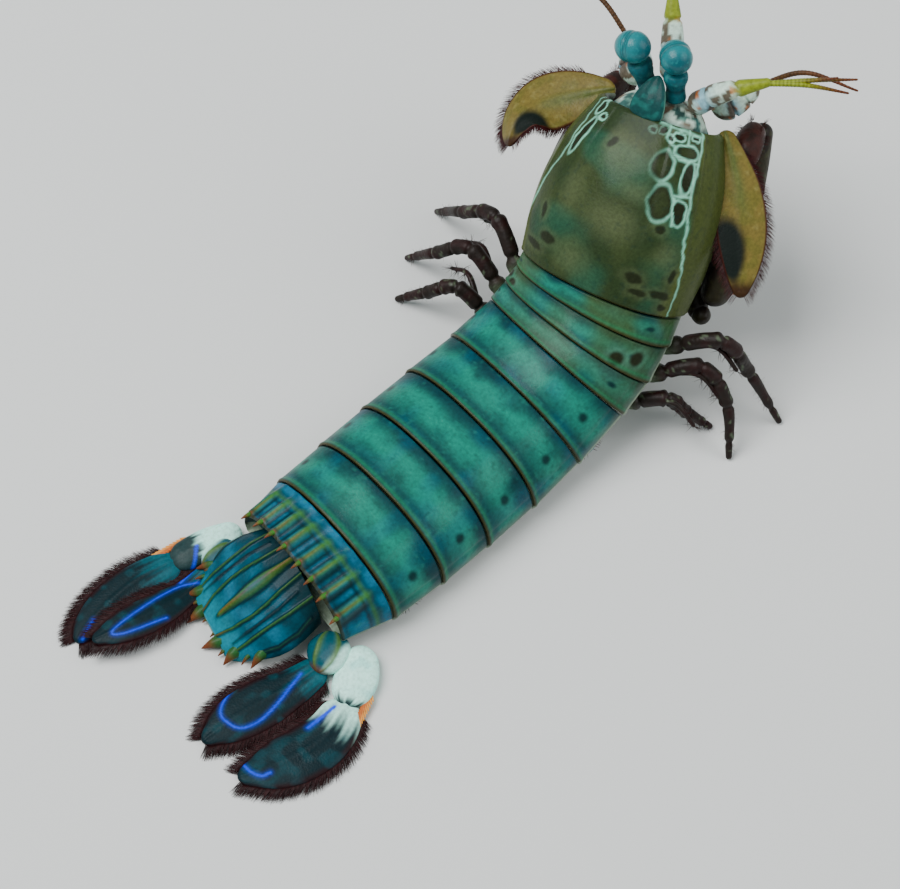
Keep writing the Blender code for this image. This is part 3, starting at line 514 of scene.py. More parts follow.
def somite_6_paint(w):
    s, y, points = w["s"], w["y"], w["points"]
    tint = plain(w, SOMITE_6_BLUE)
    tint = over(tint, SOMITE_6_DEEP, step(mottle(points, 1.6, 11), 0.4, 0.85) * 0.5)
    tint = over(tint, TEAL_LIGHT, step(mottle(points, 0.8, 12), 0.6, 0.9) * 0.3)
    tint = over(tint, TEAL_DEEP, step(s, 4.2, 5.4) * (1 - step(s, 5.8, 6.6)) * 0.7)
    tint = over(tint, KEEL_GREEN, bell(s, 5.2, 0.35) * 0.6)
    tint = over(tint, SOMITE_6_DEEP, bell(s, 4.3, 0.3) * 0.8)
    for mid, wide, _ in SOMITE_6_KEELS:
        shadow = bell(np.abs(y - mid), wide * 1.5, 0.35) * (1 - step(s, 4.0, 6.0))
        tint = over(tint, SOMITE_6_DEEP, shadow * 0.95)
        crest = bell(y, mid, wide * 0.75) * (1 - step(s, 4.0, 6.8))
        tint = over(tint, KEEL_GREEN, crest * 0.95)
        tint = over(tint, SPINE_BROWN, bell(y, mid, wide * 0.3) * (1 - step(s, 2.0, 5.0)) * 0.6)
        tint = over(tint, SPINE_BROWN, crest * (1 - step(s, 0.3, 1.2)))
    tint = over(tint, SOMITE_6_DEEP, bell(s, 0.9, 0.3) * 0.5)
    tint = over(tint, RIM_BROWN, (1 - step(s, 0.25, 0.5)) * 0.7)
    return over(tint, BELLY, np.where(w["back"], 0.0, 1.0))


def curve(points, q):
    """A soft curve through rows of numbers, read at places q from 0 to 1."""
    points = np.asarray(points, float)
    ends = np.vstack([2 * points[0] - points[1], points, 2 * points[-1] - points[-2]])
    q = np.clip(q, 0, 1) * (len(points) - 1)
    i = np.minimum(q.astype(int), len(points) - 2)
    f = (q - i)[:, None]
    a, b, c, d = (ends[i + k] for k in range(4))
    return 0.5 * (2 * b + (c - a) * f + (2 * a - 5 * b + 4 * c - d) * f ** 2
                  + (3 * b - a - 3 * c + d) * f ** 3)


def limb_rows(path, sizes, count, up, ends):
    """Middle, side, lift, half width and half thickness of the rows of a limb, its ends rounded off."""
    even = np.linspace(0, 1, count + 1)
    q = 0.55 * even + 0.45 * (0.5 - 0.5 * np.cos(np.pi * even))
    middle = curve(path, q)
    size = np.maximum(curve(sizes, q), 0.02)
    along = unit(np.gradient(middle, axis=0))
    side = unit(np.cross(np.asarray(up, float), along))
    lift = np.cross(along, side)
    run = np.r_[0, np.cumsum(np.linalg.norm(np.diff(middle, axis=0), axis=1))]
    start = np.clip(run / max(ends[0] * size[0, 0], 1e-6), 0, 1)
    stop = np.clip((run[-1] - run) / max(ends[1] * size[-1, 0], 1e-6), 0, 1)
    cap = np.sqrt(1 - (1 - start) ** 2) * np.sqrt(1 - (1 - stop) ** 2)
    return q, run, middle, side, lift, size * cap[:, None]


def limb(name, path, sizes, paint, surface, slot, nodes=(), rows=40, columns=24, up=(0, 0, 1),
         squareness=2.0, ends=(1.0, 1.0), shape=None, relief=None):
    """A closed skin along a path. shape swells a row; relief lifts points outward, in millimetres."""
    q, run, middle, side, lift, size = limb_rows(path, sizes, rows, up, ends)
    if shape is not None:
        size = size * shape(q)[:, None]

    def place(i, v):
        angle = 2 * np.pi * v
        across = power(np.cos(angle), 2 / squareness) * size[i, 0]
        rise = power(np.sin(angle), 2 / squareness) * size[i, 1]
        out = 0.0
        if relief is not None:
            out = relief(q[i], run[i], angle) * np.minimum(size[i, 1] / (size[:, 1].max() * 0.5), 1)
        swell = 1 + out / np.maximum(np.hypot(across, rise), 0.05)
        points = middle[i] + side[i] * (across * swell)[:, None] + lift[i] * (rise * swell)[:, None]
        return {"points": points, "q": q[i], "s": run[i], "angle": angle, "side": np.cos(angle),
                "rise": np.sin(angle), "length": run[-1]}

    return wrap(name, rows, columns, place, paint, surface, slot, nodes)


def spine(root, tip, base, tint, tip_tint=None, bend=(0, 0, 0.15), rows=8):
    """A small curved spine with a darker tip."""
    root, tip = np.asarray(root, float), np.asarray(tip, float)
    path = [root, (root + tip) / 2 + np.asarray(bend), tip]
    tip_tint = SPINE_BROWN if tip_tint is None else tip_tint

    def paint(w):
        return over(plain(w, tint), tip_tint, step(w["q"], 0.35, 0.75))

    return limb("spine", path, [(base, base), (base * 0.62, base * 0.62), (0.06, 0.06)], paint,
                plate_cuticle, "ridge_green", rows=rows, columns=9, ends=(0.01, 1.0))


last_plate = plate_piece("abdomen_somite_6", somite_6_paint, "ridge_green", somite_6_relief, 240)
spines = []
half_6, height_6 = RIMS["abdomen_somite_6"]
for mid, wide, tall in SOMITE_6_KEELS:
    rise = height_6 * (1 - (abs(mid) / half_6) ** ARCH_POWER) ** (1 / ARCH_POWER) + tall * 0.45
    root, tip = in_place(REAR_EDGES["abdomen_somite_6"],
                         [(0.9, mid, rise - 0.1), (-1.3, mid * 1.02, rise + 0.1)])
    spines.append(spine(root, tip, 0.5, KEEL_GREEN))
join(last_plate, spines)
print("last plate:", len(last_plate.data.polygons), "faces with", len(spines), "spines")

# %% [markdown]
# ## The shield
# The shield, or carapace, is one plate over the head and the front of the thorax. It is an arched shell
# open below, about a millimetre thick, so its skin runs over the outside, round the lower edge and back
# along the inside. At the front and rear the wall thins to nothing, which rounds those edges. Two
# shallow grooves run along it, and its corners are rounded.

# %% Shield shape
CARAPACE_SHELL = 1.1
CARAPACE_PROFILE = np.array([
    (0.0, 13.3, 10.0), (0.05, 13.5, 10.2), (0.25, 14.1, 10.5), (0.5, 13.9, 10.1),
    (0.75, 12.5, 9.1), (1.0, 9.6, 6.7),
])
CARAPACE_LENGTH = np.linalg.norm(np.subtract(HEAD[:3], REAR_EDGES["carapace"][:3]))
GROOVE_Y = 0.46
ARC_MM = 34.0
CARAPACE_LIP = 1.6


def head_place(share):
    return blend(REAR_EDGES["carapace"], HEAD, share)


CARAPACE_ROWS = np.r_[0.0, 0.002, 0.008, 0.018, np.linspace(0.03, 0.97, 130), 0.982, 0.992, 0.998, 1.0]


def carapace_place(i, v):
    share = CARAPACE_ROWS[i]
    origin, axes = stations(head_place(share))
    _, half, height = curve(CARAPACE_PROFILE, share_to_q(share)).T
    outer = v < 0.5
    t = np.where(outer, v / 0.5, (1 - v) / 0.5)
    to_end = np.minimum(share, 1 - share) * CARAPACE_LENGTH
    wall = CARAPACE_SHELL * np.sqrt(1 - (1 - np.clip(to_end / 0.6, 0, 1)) ** 2)
    drop = np.clip(np.abs(t - 0.5) - 0.47, 0, 1) / 0.03
    side, rise = arch(np.clip((t - 0.5) * 0.5 / 0.47 + 0.5, 0, 1))
    bead = 0.10 * bell(to_end, 0.4, 0.3) * outer
    line = 10.0 + 0.9 * np.abs(share - 0.6) / 0.4
    groove = 0.18 * bell(np.abs(t - 0.5) * ARC_MM, line, 0.3) * outer
    groove = groove - 0.10 * bell(np.abs(side), GROOVE_Y, 0.03) * step(share, 0.2, 0.5) * outer
    thin = np.where(outer, 0.5 * (CARAPACE_SHELL - wall) - bead - groove, 0.5 * (CARAPACE_SHELL + wall))
    y, z = (half - thin) * side, (height - thin) * rise - CARAPACE_LIP * drop
    y = y - np.sign(y) * 0.25 * drop
    points = origin + np.einsum("nij,nj->ni", axes, np.stack((0 * y, y, z), -1))
    return {"points": points, "share": share, "t": t, "s": share * CARAPACE_LENGTH, "outer": outer,
            "y": y, "length": CARAPACE_LENGTH, "arc": (t - 0.5) * ARC_MM}


def share_to_q(share):
    return np.interp(share, CARAPACE_PROFILE[:, 0], np.linspace(0, 1, len(CARAPACE_PROFILE)))


# %% [markdown]
# ### How the shield is coloured
# The shield is olive over blue-green, clouded with tan blotches. On the front right lie dark cells with
# pale rims, and a pale line follows both side edges. Each mark is placed by two surface coordinates in
# millimetres: how far forward of the rear edge, and how far round from the middle.

# %% Shield colours
OLIVE = colour("#333f22")
OLIVE_DEEP = colour("#22331d")
OLIVE_LOBE = colour("#464f25")
TAN = colour("#566040")
CELLS = [
    ((20.6, 4.4), (2.0, 1.35), 12), ((15.8, 5.4), (2.5, 1.4), 0), ((23.1, 7.6), (0.8, 1.9), 0),
    ((19.9, 8.25), (2.1, 0.85), 8), ((15.1, 7.9), (1.7, 0.8), -8), ((25.1, 3.3), (0.4, 0.5), 0),
    ((24.9, 6.0), (0.4, 0.9), 0), ((24.3, 4.6), (0.35, 0.5), 0), ((24.6, 1.7), (0.35, 0.45), 0),
    ((25.2, 9.0), (0.35, 0.7), 0), ((24.9, -7.2), (1.0, 0.6), 0), ((20.2, -6.9), (3.0, 0.6), 4),
    ((23.6, -5.6), (0.4, 0.5), 0),
]
DARK_SPOTS = [
    ((12.2, 6.2), (0.6, 0.6), 0), ((4.7, 5.2), (0.8, 1.2), 0), ((2.8, 6.2), (0.5, 1.3), -6),
    ((3.3, 9.2), (0.55, 1.5), 10), ((6.3, 9.7), (1.0, 0.45), 0), ((1.5, 10.1), (0.5, 0.7), 0),
    ((21.2, -1.9), (0.9, 0.5), 20), ((8.2, -7.0), (1.3, 0.5), 0), ((4.7, -5.2), (0.8, 1.2), 0),
    ((2.8, -7.6), (0.5, 2.0), 4),
]
SIDE_LINE = [(26.0, 10.4), (23.9, 10.2), (21.8, 9.7), (18.2, 9.2), (15.6, 9.2), (11.8, 9.7), (7.4, 10.7),
             (3.2, 11.5), (0.0, 11.9)]
LEFT_LINE = [(26.0, -9.6), (23.7, -8.9), (19.5, -8.2), (16.0, -8.4), (11.8, -9.7), (7.4, -10.7), (0.0, -11.9)]
BRANCHES = [[(22.0, 9.8), (21.9, 6.4), (23.4, 5.4), (24.2, 3.9), (26.0, 4.2)], [(17.6, 9.2), (17.4, 7.0)],
            [(24.2, 7.6), (26.0, 7.7)], [(25.9, 2.4), (25.8, 6.0), (25.6, 10.2)], [(13.2, 7.4), (17.0, 7.0)]]
PALE_EDGES = [(SIDE_LINE, 0.3), (LEFT_LINE, 0.22)] + [(line, 0.26) for line in BRANCHES]
BLOTCHES = [((10.8, 1.2), (2.2, 2.4), 0), ((20.1, -0.3), (2.4, 2.0), 0), ((12.9, -4.0), (3.0, 1.4), 0),
            ((3.8, -1.7), (2.0, 1.6), 0), ((9.0, 8.0), (1.6, 1.4), 0), ((16.0, 2.0), (1.2, 1.6), 0)]


def carapace_paint(w):
    s, arc, points = w["s"], w["arc"], w["points"]
    wander = (mottle(points, 1.1, 24) - 0.5) * 0.5
    s, arc = s + wander, arc + wander
    tint = plain(w, OLIVE)
    tint = over(tint, OLIVE_DEEP, step(mottle(points, 3.4, 21), 0.4, 0.75) * 0.7)
    tint = over(tint, colour("#1f5a47"), step(mottle(points, 5.0, 22), 0.5, 0.8) * 0.45)
    tint = over(tint, OLIVE_LOBE, step(np.abs(arc), 9.6, 10.6) * 0.8)
    for middle, radii, turn in BLOTCHES:
        tint = over(tint, TAN, spot(s, arc, middle, radii, turn, 0.9) * 0.5)
    for middle, radii, turn in DARK_SPOTS:
        halo = spot(s, arc, middle, (radii[0] + 0.6, radii[1] + 0.6), turn, 0.4)
        tint = over(tint, TAN, halo * 0.3)
        tint = over(tint, CELL_DARK, spot(s, arc, middle, radii, turn, 0.25) * 0.95)
    for middle, radii, turn in CELLS:
        rim = spot(s, arc, middle, (radii[0] + 0.27, radii[1] + 0.27), turn, 0.13)
        open_side = np.where(arc > 0, 0.2 + 0.8 * step(arc, 3.4, 5.4), 1.0)
        tint = over(tint, CELL_RIM, rim * open_side * 0.9)
    for line, width in PALE_EDGES:
        tint = over(tint, CELL_RIM, stroke(s, arc, line, width) * 0.9)
    for middle, radii, turn in CELLS:
        tint = over(tint, CELL_DARK, spot(s, arc, middle, radii, turn, 0.16))
        core = (radii[0] * 0.8, radii[1] * 0.72)
        tint = over(tint, OLIVE, spot(s, arc, middle, core, turn, 0.5) * 0.6 * (radii[1] > 1.1))
    tint = over(tint, FRECKLE, step(mottle(points, 0.5, 25), 0.7, 0.86) * 0.2)
    tint = over(tint, RIM_BROWN, (1 - step(w["s"], 0.2, 0.5)) * 0.7)
    return over(tint, BELLY * 0.5, np.where(w["outer"], 0.0, 1.0))


wrap("carapace", len(CARAPACE_ROWS) - 1, 360, carapace_place, carapace_paint, plate_cuticle, "shell_olive",
     ["carapace"])
print("shield is", round(float(CARAPACE_LENGTH), 1), "mm long")

# %% [markdown]
# ## The body under the shield
# Under the shield the head and thorax are soft and dark, like oiled leather; the face is mottled white and
# brown. This is one closed skin round the same line as the shield, with rings of folds.

# %% Soft body
CORE_PROFILE = np.array([
    (0.0, 11.0, 8.4, 5.5), (0.25, 11.6, 8.9, 6.5), (0.5, 11.4, 8.5, 6.5),
    (0.72, 10.4, 7.6, 6.2), (0.9, 8.8, 6.3, 5.4), (1.0, 7.0, 5.0, 4.6), (1.12, 5.0, 3.0, 3.6),
])
CORE_ROWS = np.r_[0.0, 0.001, np.linspace(0.01, 1.11, 70), 1.12, 1.121]


def core_place(i, v):
    share = CORE_ROWS[i]
    origin, axes = stations(head_place(share))
    q = np.interp(share, CORE_PROFILE[:, 0], np.linspace(0, 1, len(CORE_PROFILE)))
    _, half, height, depth = curve(CORE_PROFILE, q).T
    cap = np.sqrt(np.clip(1 - np.clip((share - 1.0) / 0.121, 0, 1) ** 3, 0, 1))
    cap = np.where(i == 0, 0.0, cap)
    folds = 1 - 0.02 * np.abs(np.sin(share * 26)) * (v > 0.5)
    angle = 2 * np.pi * v
    y = power(np.cos(angle), 2 / ARCH_POWER) * half * cap * folds
    z = power(np.sin(angle), 2 / ARCH_POWER) * np.where(np.sin(angle) > 0, height, depth) * cap * folds
    points = origin + np.einsum("nij,nj->ni", axes, np.stack((0 * y, y, z), -1))
    return {"points": points, "share": share, "angle": angle}


def core_paint(w):
    tint = plain(w, colour("#2f5a55"))
    tint = over(tint, colour("#1c2f2a"), step(mottle(w["points"], 1.6, 31), 0.4, 0.7) * 0.8)
    tint = over(tint, colour("#7fb5a4"), step(mottle(w["points"], 0.8, 32), 0.6, 0.75) * 0.5)
    face = step(w["share"], 0.98, 1.02)
    tint = over(tint, colour("#c4ddcc"), face * step(mottle(w["points"], 1.3, 33), 0.42, 0.55))
    return over(tint, colour("#5a3414"), face * step(mottle(w["points"], 1.0, 34), 0.6, 0.68) * 0.9)


wrap("head_core", len(CORE_ROWS) - 1, 90, core_place, core_paint, soft_cuticle, "core_brown", ["head_core"])

# %% [markdown]
# ## Rostral plate
# A small dark plate lies over the front of the shield, between the eyes. It narrows to a blunt tip.

# %% Rostral plate
ROSTRAL_PATH = [(-0.6, 0.0, 6.5), (2.2, 0.0, 6.5), (4.6, 0.0, 6.1), (5.9, 0.0, 5.7)]
ROSTRAL_SIZES = [(2.7, 0.6), (2.5, 0.6), (1.5, 0.45), (0.3, 0.3)]


def rostral_paint(w):
    tint = plain(w, colour("#14403f"))
    tint = over(tint, colour("#1c6a63"), step(mottle(w["points"], 0.8, 41), 0.6, 0.8) * 0.6)
    return over(tint, CELL_RIM, step(np.abs(w["side"]), 0.96, 1.0) * 0.3)


limb("rostral_plate", in_head(ROSTRAL_PATH), ROSTRAL_SIZES, rostral_paint, plate_cuticle, "ridge_green",
     ["rostral_plate"], rows=36, columns=48, up=HEAD_AXES[:, 2], squareness=3.0, ends=(0.4, 1.0),
     relief=lambda q, s, angle: 0.16 * bell(angle, np.pi / 2, 0.22))

# %% [markdown]
# ## Telson
# The telson is the last plate, between the blades of the tail fan. It is the animal's armour: a
# teardrop keel in the middle, a pair of ridges that bend round it, more ridges beside them, and strong
# teeth on the margin. Ridges are lifted on one closed skin, and each tooth is a curved spine joined to it.

# %% Telson shape
TELSON_PROFILE = np.array([
    (-0.9, 8.3, 9.6, 3.6), (3.0, 9.5, 7.9, 3.2), (6.2, 9.6, 6.2, 2.6), (9.2, 8.4, 4.6, 1.6),
    (11.4, 6.9, 3.2, 0.4), (13.0, 5.4, 1.9, -0.1),
])
TELSON_RIDGES = [
    [(-1.5, 2.5), (2.6, 2.9), (5.2, 3.3), (7.5, 3.4), (10.7, 3.0), (13.0, 2.2)],
    [(0.8, 4.4), (4.0, 4.9), (8.0, 4.9), (11.5, 4.7)],
    [(-1.3, 6.0), (3.0, 6.3), (7.3, 6.1), (9.8, 6.0), (12.6, 5.6)],
    [(0.5, 8.0), (3.0, 8.9), (6.2, 9.0), (8.6, 8.2)],
]
TELSON_TEETH = [
    ((11.8, 2.9, 0.9), (15.6, 2.3, 0.5), 1.3), ((10.8, 5.2, 1.4), (14.0, 6.2, 0.6), 1.2),
    ((7.6, 7.6, 2.6), (10.9, 9.0, 1.6), 1.1), ((12.2, 4.3, 0.8), (14.0, 4.5, 0.5), 0.5),
    ((12.4, 1.2, 0.8), (13.7, 1.3, 0.5), 0.4), ((9.6, 6.9, 1.9), (11.8, 7.7, 1.2), 0.5),
]
AZURE = colour("#0a6680")
NAVY = colour("#062028")
RIDGE_OLIVE = colour("#4c6a24")
TELSON_GREEN = colour("#25562a")
TELSON_ROWS = np.r_[-0.9, -0.899, np.linspace(-0.8, 13.0, 132), 13.02, 13.02]


def telson_place(i, v):
    away = TELSON_ROWS[i]
    _, half, top, low = curve(TELSON_PROFILE, np.interp(away, TELSON_PROFILE[:, 0], np.linspace(0, 1, 6))).T
    t = np.clip(v / 0.8, 0, 1)
    side, rise = arch(t)
    under = np.clip((v - 0.8) / 0.2, 0, 1)
    back = v < 0.8
    y = np.where(back, half * side, half * (2 * under - 1))
    keel = 0.35 + 0.5 * bell(away, 5.0, 3.5)
    ridge = 1.1 * bell(y, 0, keel) * step(12.4 - away, 0, 2)
    for k, line in enumerate(TELSON_RIDGES):
        near = stroke(away, np.abs(y), line, 0.2, 0.8)
        ridge = ridge + (0.8, 0.35, 0.8, 0.5)[k] * near
    z = np.where(back, low + (top - low) * rise + ridge * rise, low - 0.05)
    shrink = np.where((i == 0) | (i == len(TELSON_ROWS) - 1), 0.0, 1.0)
    y, z = y * shrink, low + (z - low) * shrink
    points = in_place(TELSON, np.stack((-away, y, z), -1))
    return {"points": points, "away": away, "y": y, "back": back, "ridge": ridge}


def telson_paint(w):
    away, y, points = w["away"], np.abs(w["y"]), w["points"]
    tint = plain(w, colour("#052c33"))
    hollow = 1 - step(w["ridge"], 0.02, 0.16)
    wave = 0.5 + 0.5 * np.sin((away + 0.5 * y) * 2 * np.pi / 4.2)
    tint = over(tint, AZURE, hollow * step(away, 0.0, 7.0) * (0.35 + 0.6 * wave))
    tint = over(tint, NAVY, step(mottle(points, 1.1, 52), 0.5, 0.9) * hollow * 0.3)
    # Painted shade: navy at the foot of each ridge, where it meets the ground between ridges.
    tint = over(tint, NAVY, bell(w["ridge"], 0.14, 0.09) * 0.9)
    tint = over(tint, TELSON_GREEN, step(w["ridge"], 0.24, 0.42) * 0.9)
    tint = over(tint, RIDGE_OLIVE, step(w["ridge"], 0.42, 0.62) * 0.85)
    line = step(w["ridge"], 0.7, 0.8) * np.where(y < 1.4, bell(y, 0, 0.16), 1.0)
    tint = over(tint, SPINE_BROWN, line * 0.75)
    tint = over(tint, AZURE, np.exp(-((away - 5.5) / 2.2) ** 2 - (y / 0.55) ** 2) * 0.6)
    tint = over(tint, SPINE_BROWN, step(away, 11.0, 12.5) * step(w["ridge"], 0.3, 0.6) * 0.8)
    tint = over(tint, colour("#0f8a9a"), step(away, 9.0, 12.0) * (1 - step(w["ridge"], 0.1, 0.3)) * 0.5)
    return over(tint, BELLY, np.where(w["back"], 0.0, 1.0))


telson = wrap("telson", len(TELSON_ROWS) - 1, 190, telson_place, telson_paint, plate_cuticle,
              "ridge_green", ["telson"])
teeth = []
for root, tip, base in TELSON_TEETH:
    for sign in (-1, 1):
        ends = in_place(TELSON, [(-away, sign * y, z) for away, y, z in (root, tip)])
        teeth.append(spine(*ends, base, TELSON_GREEN, bend=(0, 0, 0.3), rows=16))
join(telson, teeth)
print("telson has", len(teeth), "teeth")

# %% [markdown]
# ## Tufts of bristles
# The blades are fringed with setae: fine solid bristles in a row along the edge. Thousands of loose
# hairs would be heavy, so each tuft is three bristles of a few faces. One bristle is made with a cone
# operator, an Array modifier repeats it, and each copy is then bent to its own place on the edge.

# %% Bristle coats
BRISTLE_ROWS = 4
BRISTLE_SIDES = 3
BRISTLE_TIP = 0.12
FLOOR_CLEAR = 0.06
PATCH_SIZE = (0.0005, 0.003)
PATCH_GAP = 0.001


def coat(name, roots, outs, lengths, radius, tints, spreads, surface, slot, per_tuft=3, sag=0.12):
    """A fringe: tufts at the given roots, each pointing its own way, as one solid mesh."""
    rng = np.random.default_rng(SEED + len(roots))
    lengths = np.repeat(np.broadcast_to(lengths, len(roots)), per_tuft)
    tints = np.repeat(np.broadcast_to(tints, (len(roots), 3)), per_tuft, axis=0)
    roots, outs = np.repeat(roots, per_tuft, axis=0), np.repeat(outs, per_tuft, axis=0)
    count = len(roots)
    outs = unit(outs + rng.normal(0, spreads, (count, 3)))
    lengths = lengths * rng.uniform(0.7, 1.1, count)
    bm = bmesh.new()
    bmesh.ops.create_cone(bm, segments=BRISTLE_SIDES, radius1=1.0, radius2=BRISTLE_TIP, depth=1.0,
                          cap_ends=True)
    for k in range(1, BRISTLE_ROWS):
        bmesh.ops.bisect_plane(bm, geom=bm.verts[:] + bm.edges[:] + bm.faces[:],
                               plane_co=(0, 0, k / BRISTLE_ROWS - 0.5), plane_no=(0, 0, 1))
    mesh = bpy.data.meshes.new(name)
    bm.to_mesh(mesh)
    bm.free()
    one = np.empty(len(mesh.vertices) * 3)
    mesh.vertices.foreach_get("co", one)
    one = one.reshape(-1, 3)
    holder = show(name, mesh)
    copies = holder.modifiers.new("copies", "ARRAY")
    copies.count = count
    view = bpy.context.evaluated_depsgraph_get()
    made = bpy.data.meshes.new_from_object(holder.evaluated_get(view))
    bpy.data.objects.remove(holder, do_unlink=True)
    made.name = name
    side = unit(np.cross(outs, (0.13, 0.21, 1.0)))
    lift = np.cross(side, outs)
    along = one[:, 2] + 0.5
    droop = along ** 2
    points = (roots[:, None] + outs[:, None] * (along[None, :, None] * lengths[:, None, None])
              + side[:, None] * (one[None, :, :1] * radius) + lift[:, None] * (one[None, :, 1:2] * radius)
              - np.array((0, 0, 1.0)) * (droop[None, :, None] * sag * lengths[:, None, None]))
    points = points.reshape(-1, 3)
    points[:, 2] = np.maximum(points[:, 2], FLOOR_CLEAR)
    made.vertices.foreach_set("co", ((points - ORIGIN) * MM).ravel())
    paint = np.repeat(tints[:, None], len(one), axis=1)
    paint = paint * (0.75 + 0.5 * along[None, :, None])
    tint = made.color_attributes.new("Paint", "FLOAT_COLOR", "POINT")
    tint.data.foreach_set("color", np.c_[paint.reshape(-1, 3), np.ones(len(points))].ravel())
    corners = np.empty(len(made.loops), int)
    made.loops.foreach_get("vertex_index", corners)
    number = np.arange(count)
    places = np.stack(((number // per_tuft) / max(count // per_tuft, 1), number % per_tuft * PATCH_GAP), -1)
    spread = np.stack((one[:, 0], along), -1) * PATCH_SIZE
    patch = places[:, None] * (1 - 10 * PATCH_GAP, 1.0) + spread[None] + PATCH_GAP
    unwrap = made.uv_layers.new(name="OFBake")
    unwrap.data.foreach_set("uv", patch.reshape(-1, 2)[corners].ravel())
    return dress(name, made, surface, slot)


def edge_roots(q, middle, side, size, first, last, count, along, sign, sweep):
    """Roots and directions of tufts along one edge of a blade."""
    share = np.linspace(first, last, count)
    rows = np.interp(share, q, np.arange(len(q)))
    low = np.floor(rows).astype(int)
    high = np.minimum(low + 1, len(q) - 1)
    f = (rows - low)[:, None]
    at, out, half = (row[low] * (1 - f) + row[high] * f for row in (middle, side, size))
    tilt = (sweep[0] + (sweep[1] - sweep[0]) * share)[:, None]
    return at + out * sign * half[:, :1] * 0.95, out * sign + along[low] * tilt


def fringe(name, path, sizes, up, slot, tint, length, first=0.15, last=0.99, count=90, signs=(-1, 1),
           sweep=(0.3, 1.6), radius=0.055, spreads=0.10, rows=60, sag=0.1):
    """A row of tufts on the edges of a blade."""
    q, _, middle, side, _, size = limb_rows(path, sizes, rows, up, (1.0, 1.0))
    along = unit(np.gradient(middle, axis=0))
    found = [edge_roots(q, middle, side, size, first, last, count, along, sign, sweep) for sign in signs]
    roots = np.vstack([r for r, _ in found])
    outs = np.vstack([o for _, o in found])
    share = np.tile(np.linspace(first, last, count), len(signs))
    swell = np.sin(np.pi * np.clip((share - first) / (1 - first), 0, 1) * 0.7 + 0.4)
    lengths = length * (0.65 + 0.35 * swell)
    tints = tint * np.random.default_rng(SEED).uniform(0.6, 1.3, (len(roots), 1))
    return coat(name, roots, outs, lengths, radius, tints, spreads, seta_chitin, slot, sag=sag)


# %% [markdown]
# ## Tail fan
# Two paddles stand on each side of the telson. On each side a ridged root piece carries a pale outer
# base, armed with a row of movable spines, and two dark blades fringed with maroon setae. The pale base
# fades into its blade in streaks. The blades carry bright blue curved marks, which are painted as strokes
# at their places on the floor plan.

# %% Tail fan
UROPODS = {
    "left": {
        "protopod": ([(-0.8, 9.6, 2.4), (-3.4, 10.9, 2.1), (-6.6, 11.8, 1.7)],
                     [(2.5, 1.5), (3.0, 1.6), (2.2, 1.3)]),
        "exopod_base": ([(1.8, 12.4, 1.7), (-3.4, 14.6, 1.3), (-8.8, 16.4, 0.9)],
                        [(1.8, 1.3), (2.6, 1.3), (2.2, 1.0)]),
        "exopod": ([(-7.4, 16.0, 0.7), (-14.0, 17.9, 0.6), (-19.5, 18.3, 0.55), (-24.0, 18.0, 0.5),
                    (-26.8, 17.4, 0.4)], [(2.3, 0.8), (3.0, 0.75), (3.1, 0.7), (2.2, 0.65), (0.7, 0.5)]),
        "endopod": ([(-5.0, 11.2, 1.2), (-10.0, 11.4, 0.8), (-15.0, 12.0, 1.6), (-20.5, 13.5, 2.1),
                     (-25.4, 15.3, 2.0)], [(1.7, 0.8), (2.0, 0.5), (2.7, 0.5), (2.6, 0.45), (0.8, 0.4)]),
    },
    "right": {
        "protopod": ([(-1.0, -8.8, 2.4), (-3.6, -10.6, 2.1), (-6.8, -11.6, 1.7)],
                     [(2.6, 1.5), (3.1, 1.6), (2.3, 1.3)]),
        "exopod_base": ([(0.6, -13.4, 1.7), (-3.4, -16.0, 1.3), (-7.8, -17.9, 0.9)],
                        [(2.0, 1.3), (3.2, 1.3), (2.6, 1.0)]),
        "exopod": ([(-6.4, -17.5, 0.7), (-12.0, -19.0, 0.6), (-16.5, -18.5, 0.6), (-21.0, -16.7, 0.55),
                    (-25.6, -14.2, 0.4)], [(2.7, 0.85), (3.8, 0.75), (4.1, 0.7), (3.5, 0.65), (0.9, 0.5)]),
        "endopod": ([(-5.0, -11.2, 0.9), (-10.5, -10.2, 0.6), (-15.0, -8.9, 0.6), (-20.5, -7.5, 0.55),
                     (-25.2, -6.8, 0.4)], [(2.1, 0.9), (3.0, 0.75), (3.8, 0.7), (3.3, 0.65), (0.8, 0.5)]),
    },
}
BLUE_MARKS = {
    "left": [([(-8.4, 11.0), (-11.7, 13.0), (-21.9, 14.2), (-21.6, 12.7), (-15.6, 10.2)], 0.35),
             ([(-25.9, 17.0), (-22.8, 17.9)], 0.6), ([(-4.7, 15.1), (-7.1, 13.4), (-10.1, 13.1)], 0.6)],
    "right": [([(-8.5, -9.9), (-11.5, -10.3), (-15.5, -10.7), (-18.3, -10.4), (-20.4, -9.1),
                (-20.8, -6.4), (-19.6, -5.0), (-17.2, -4.2)], 0.45),
              ([(-20.7, -12.4), (-22.4, -12.4), (-23.5, -13.2), (-23.8, -15.0), (-23.2, -16.6),
                (-22.0, -17.2)], 0.5), ([(-8.8, -16.9), (-13.6, -16.3)], 0.7)],
}
OUTER_SPINES = 9
BLADE_BLACK = colour("#021d23")
BLADE_MAROON = colour("#260a0c")
MARK_BLUE = colour("#0a3fe0")
BLADE_ROOT = colour("#0d5a66")
BLADE_PALE = colour("#c6fff0")
PALE_TIP = colour("#74cfc8")


def streaks(w):
    """Distance along a blade, drawn out into streaks across its width."""
    return w["q"] + 0.035 * np.sin(w["side"] * 9) + 0.025 * np.sin(w["side"] * 23 + 1)


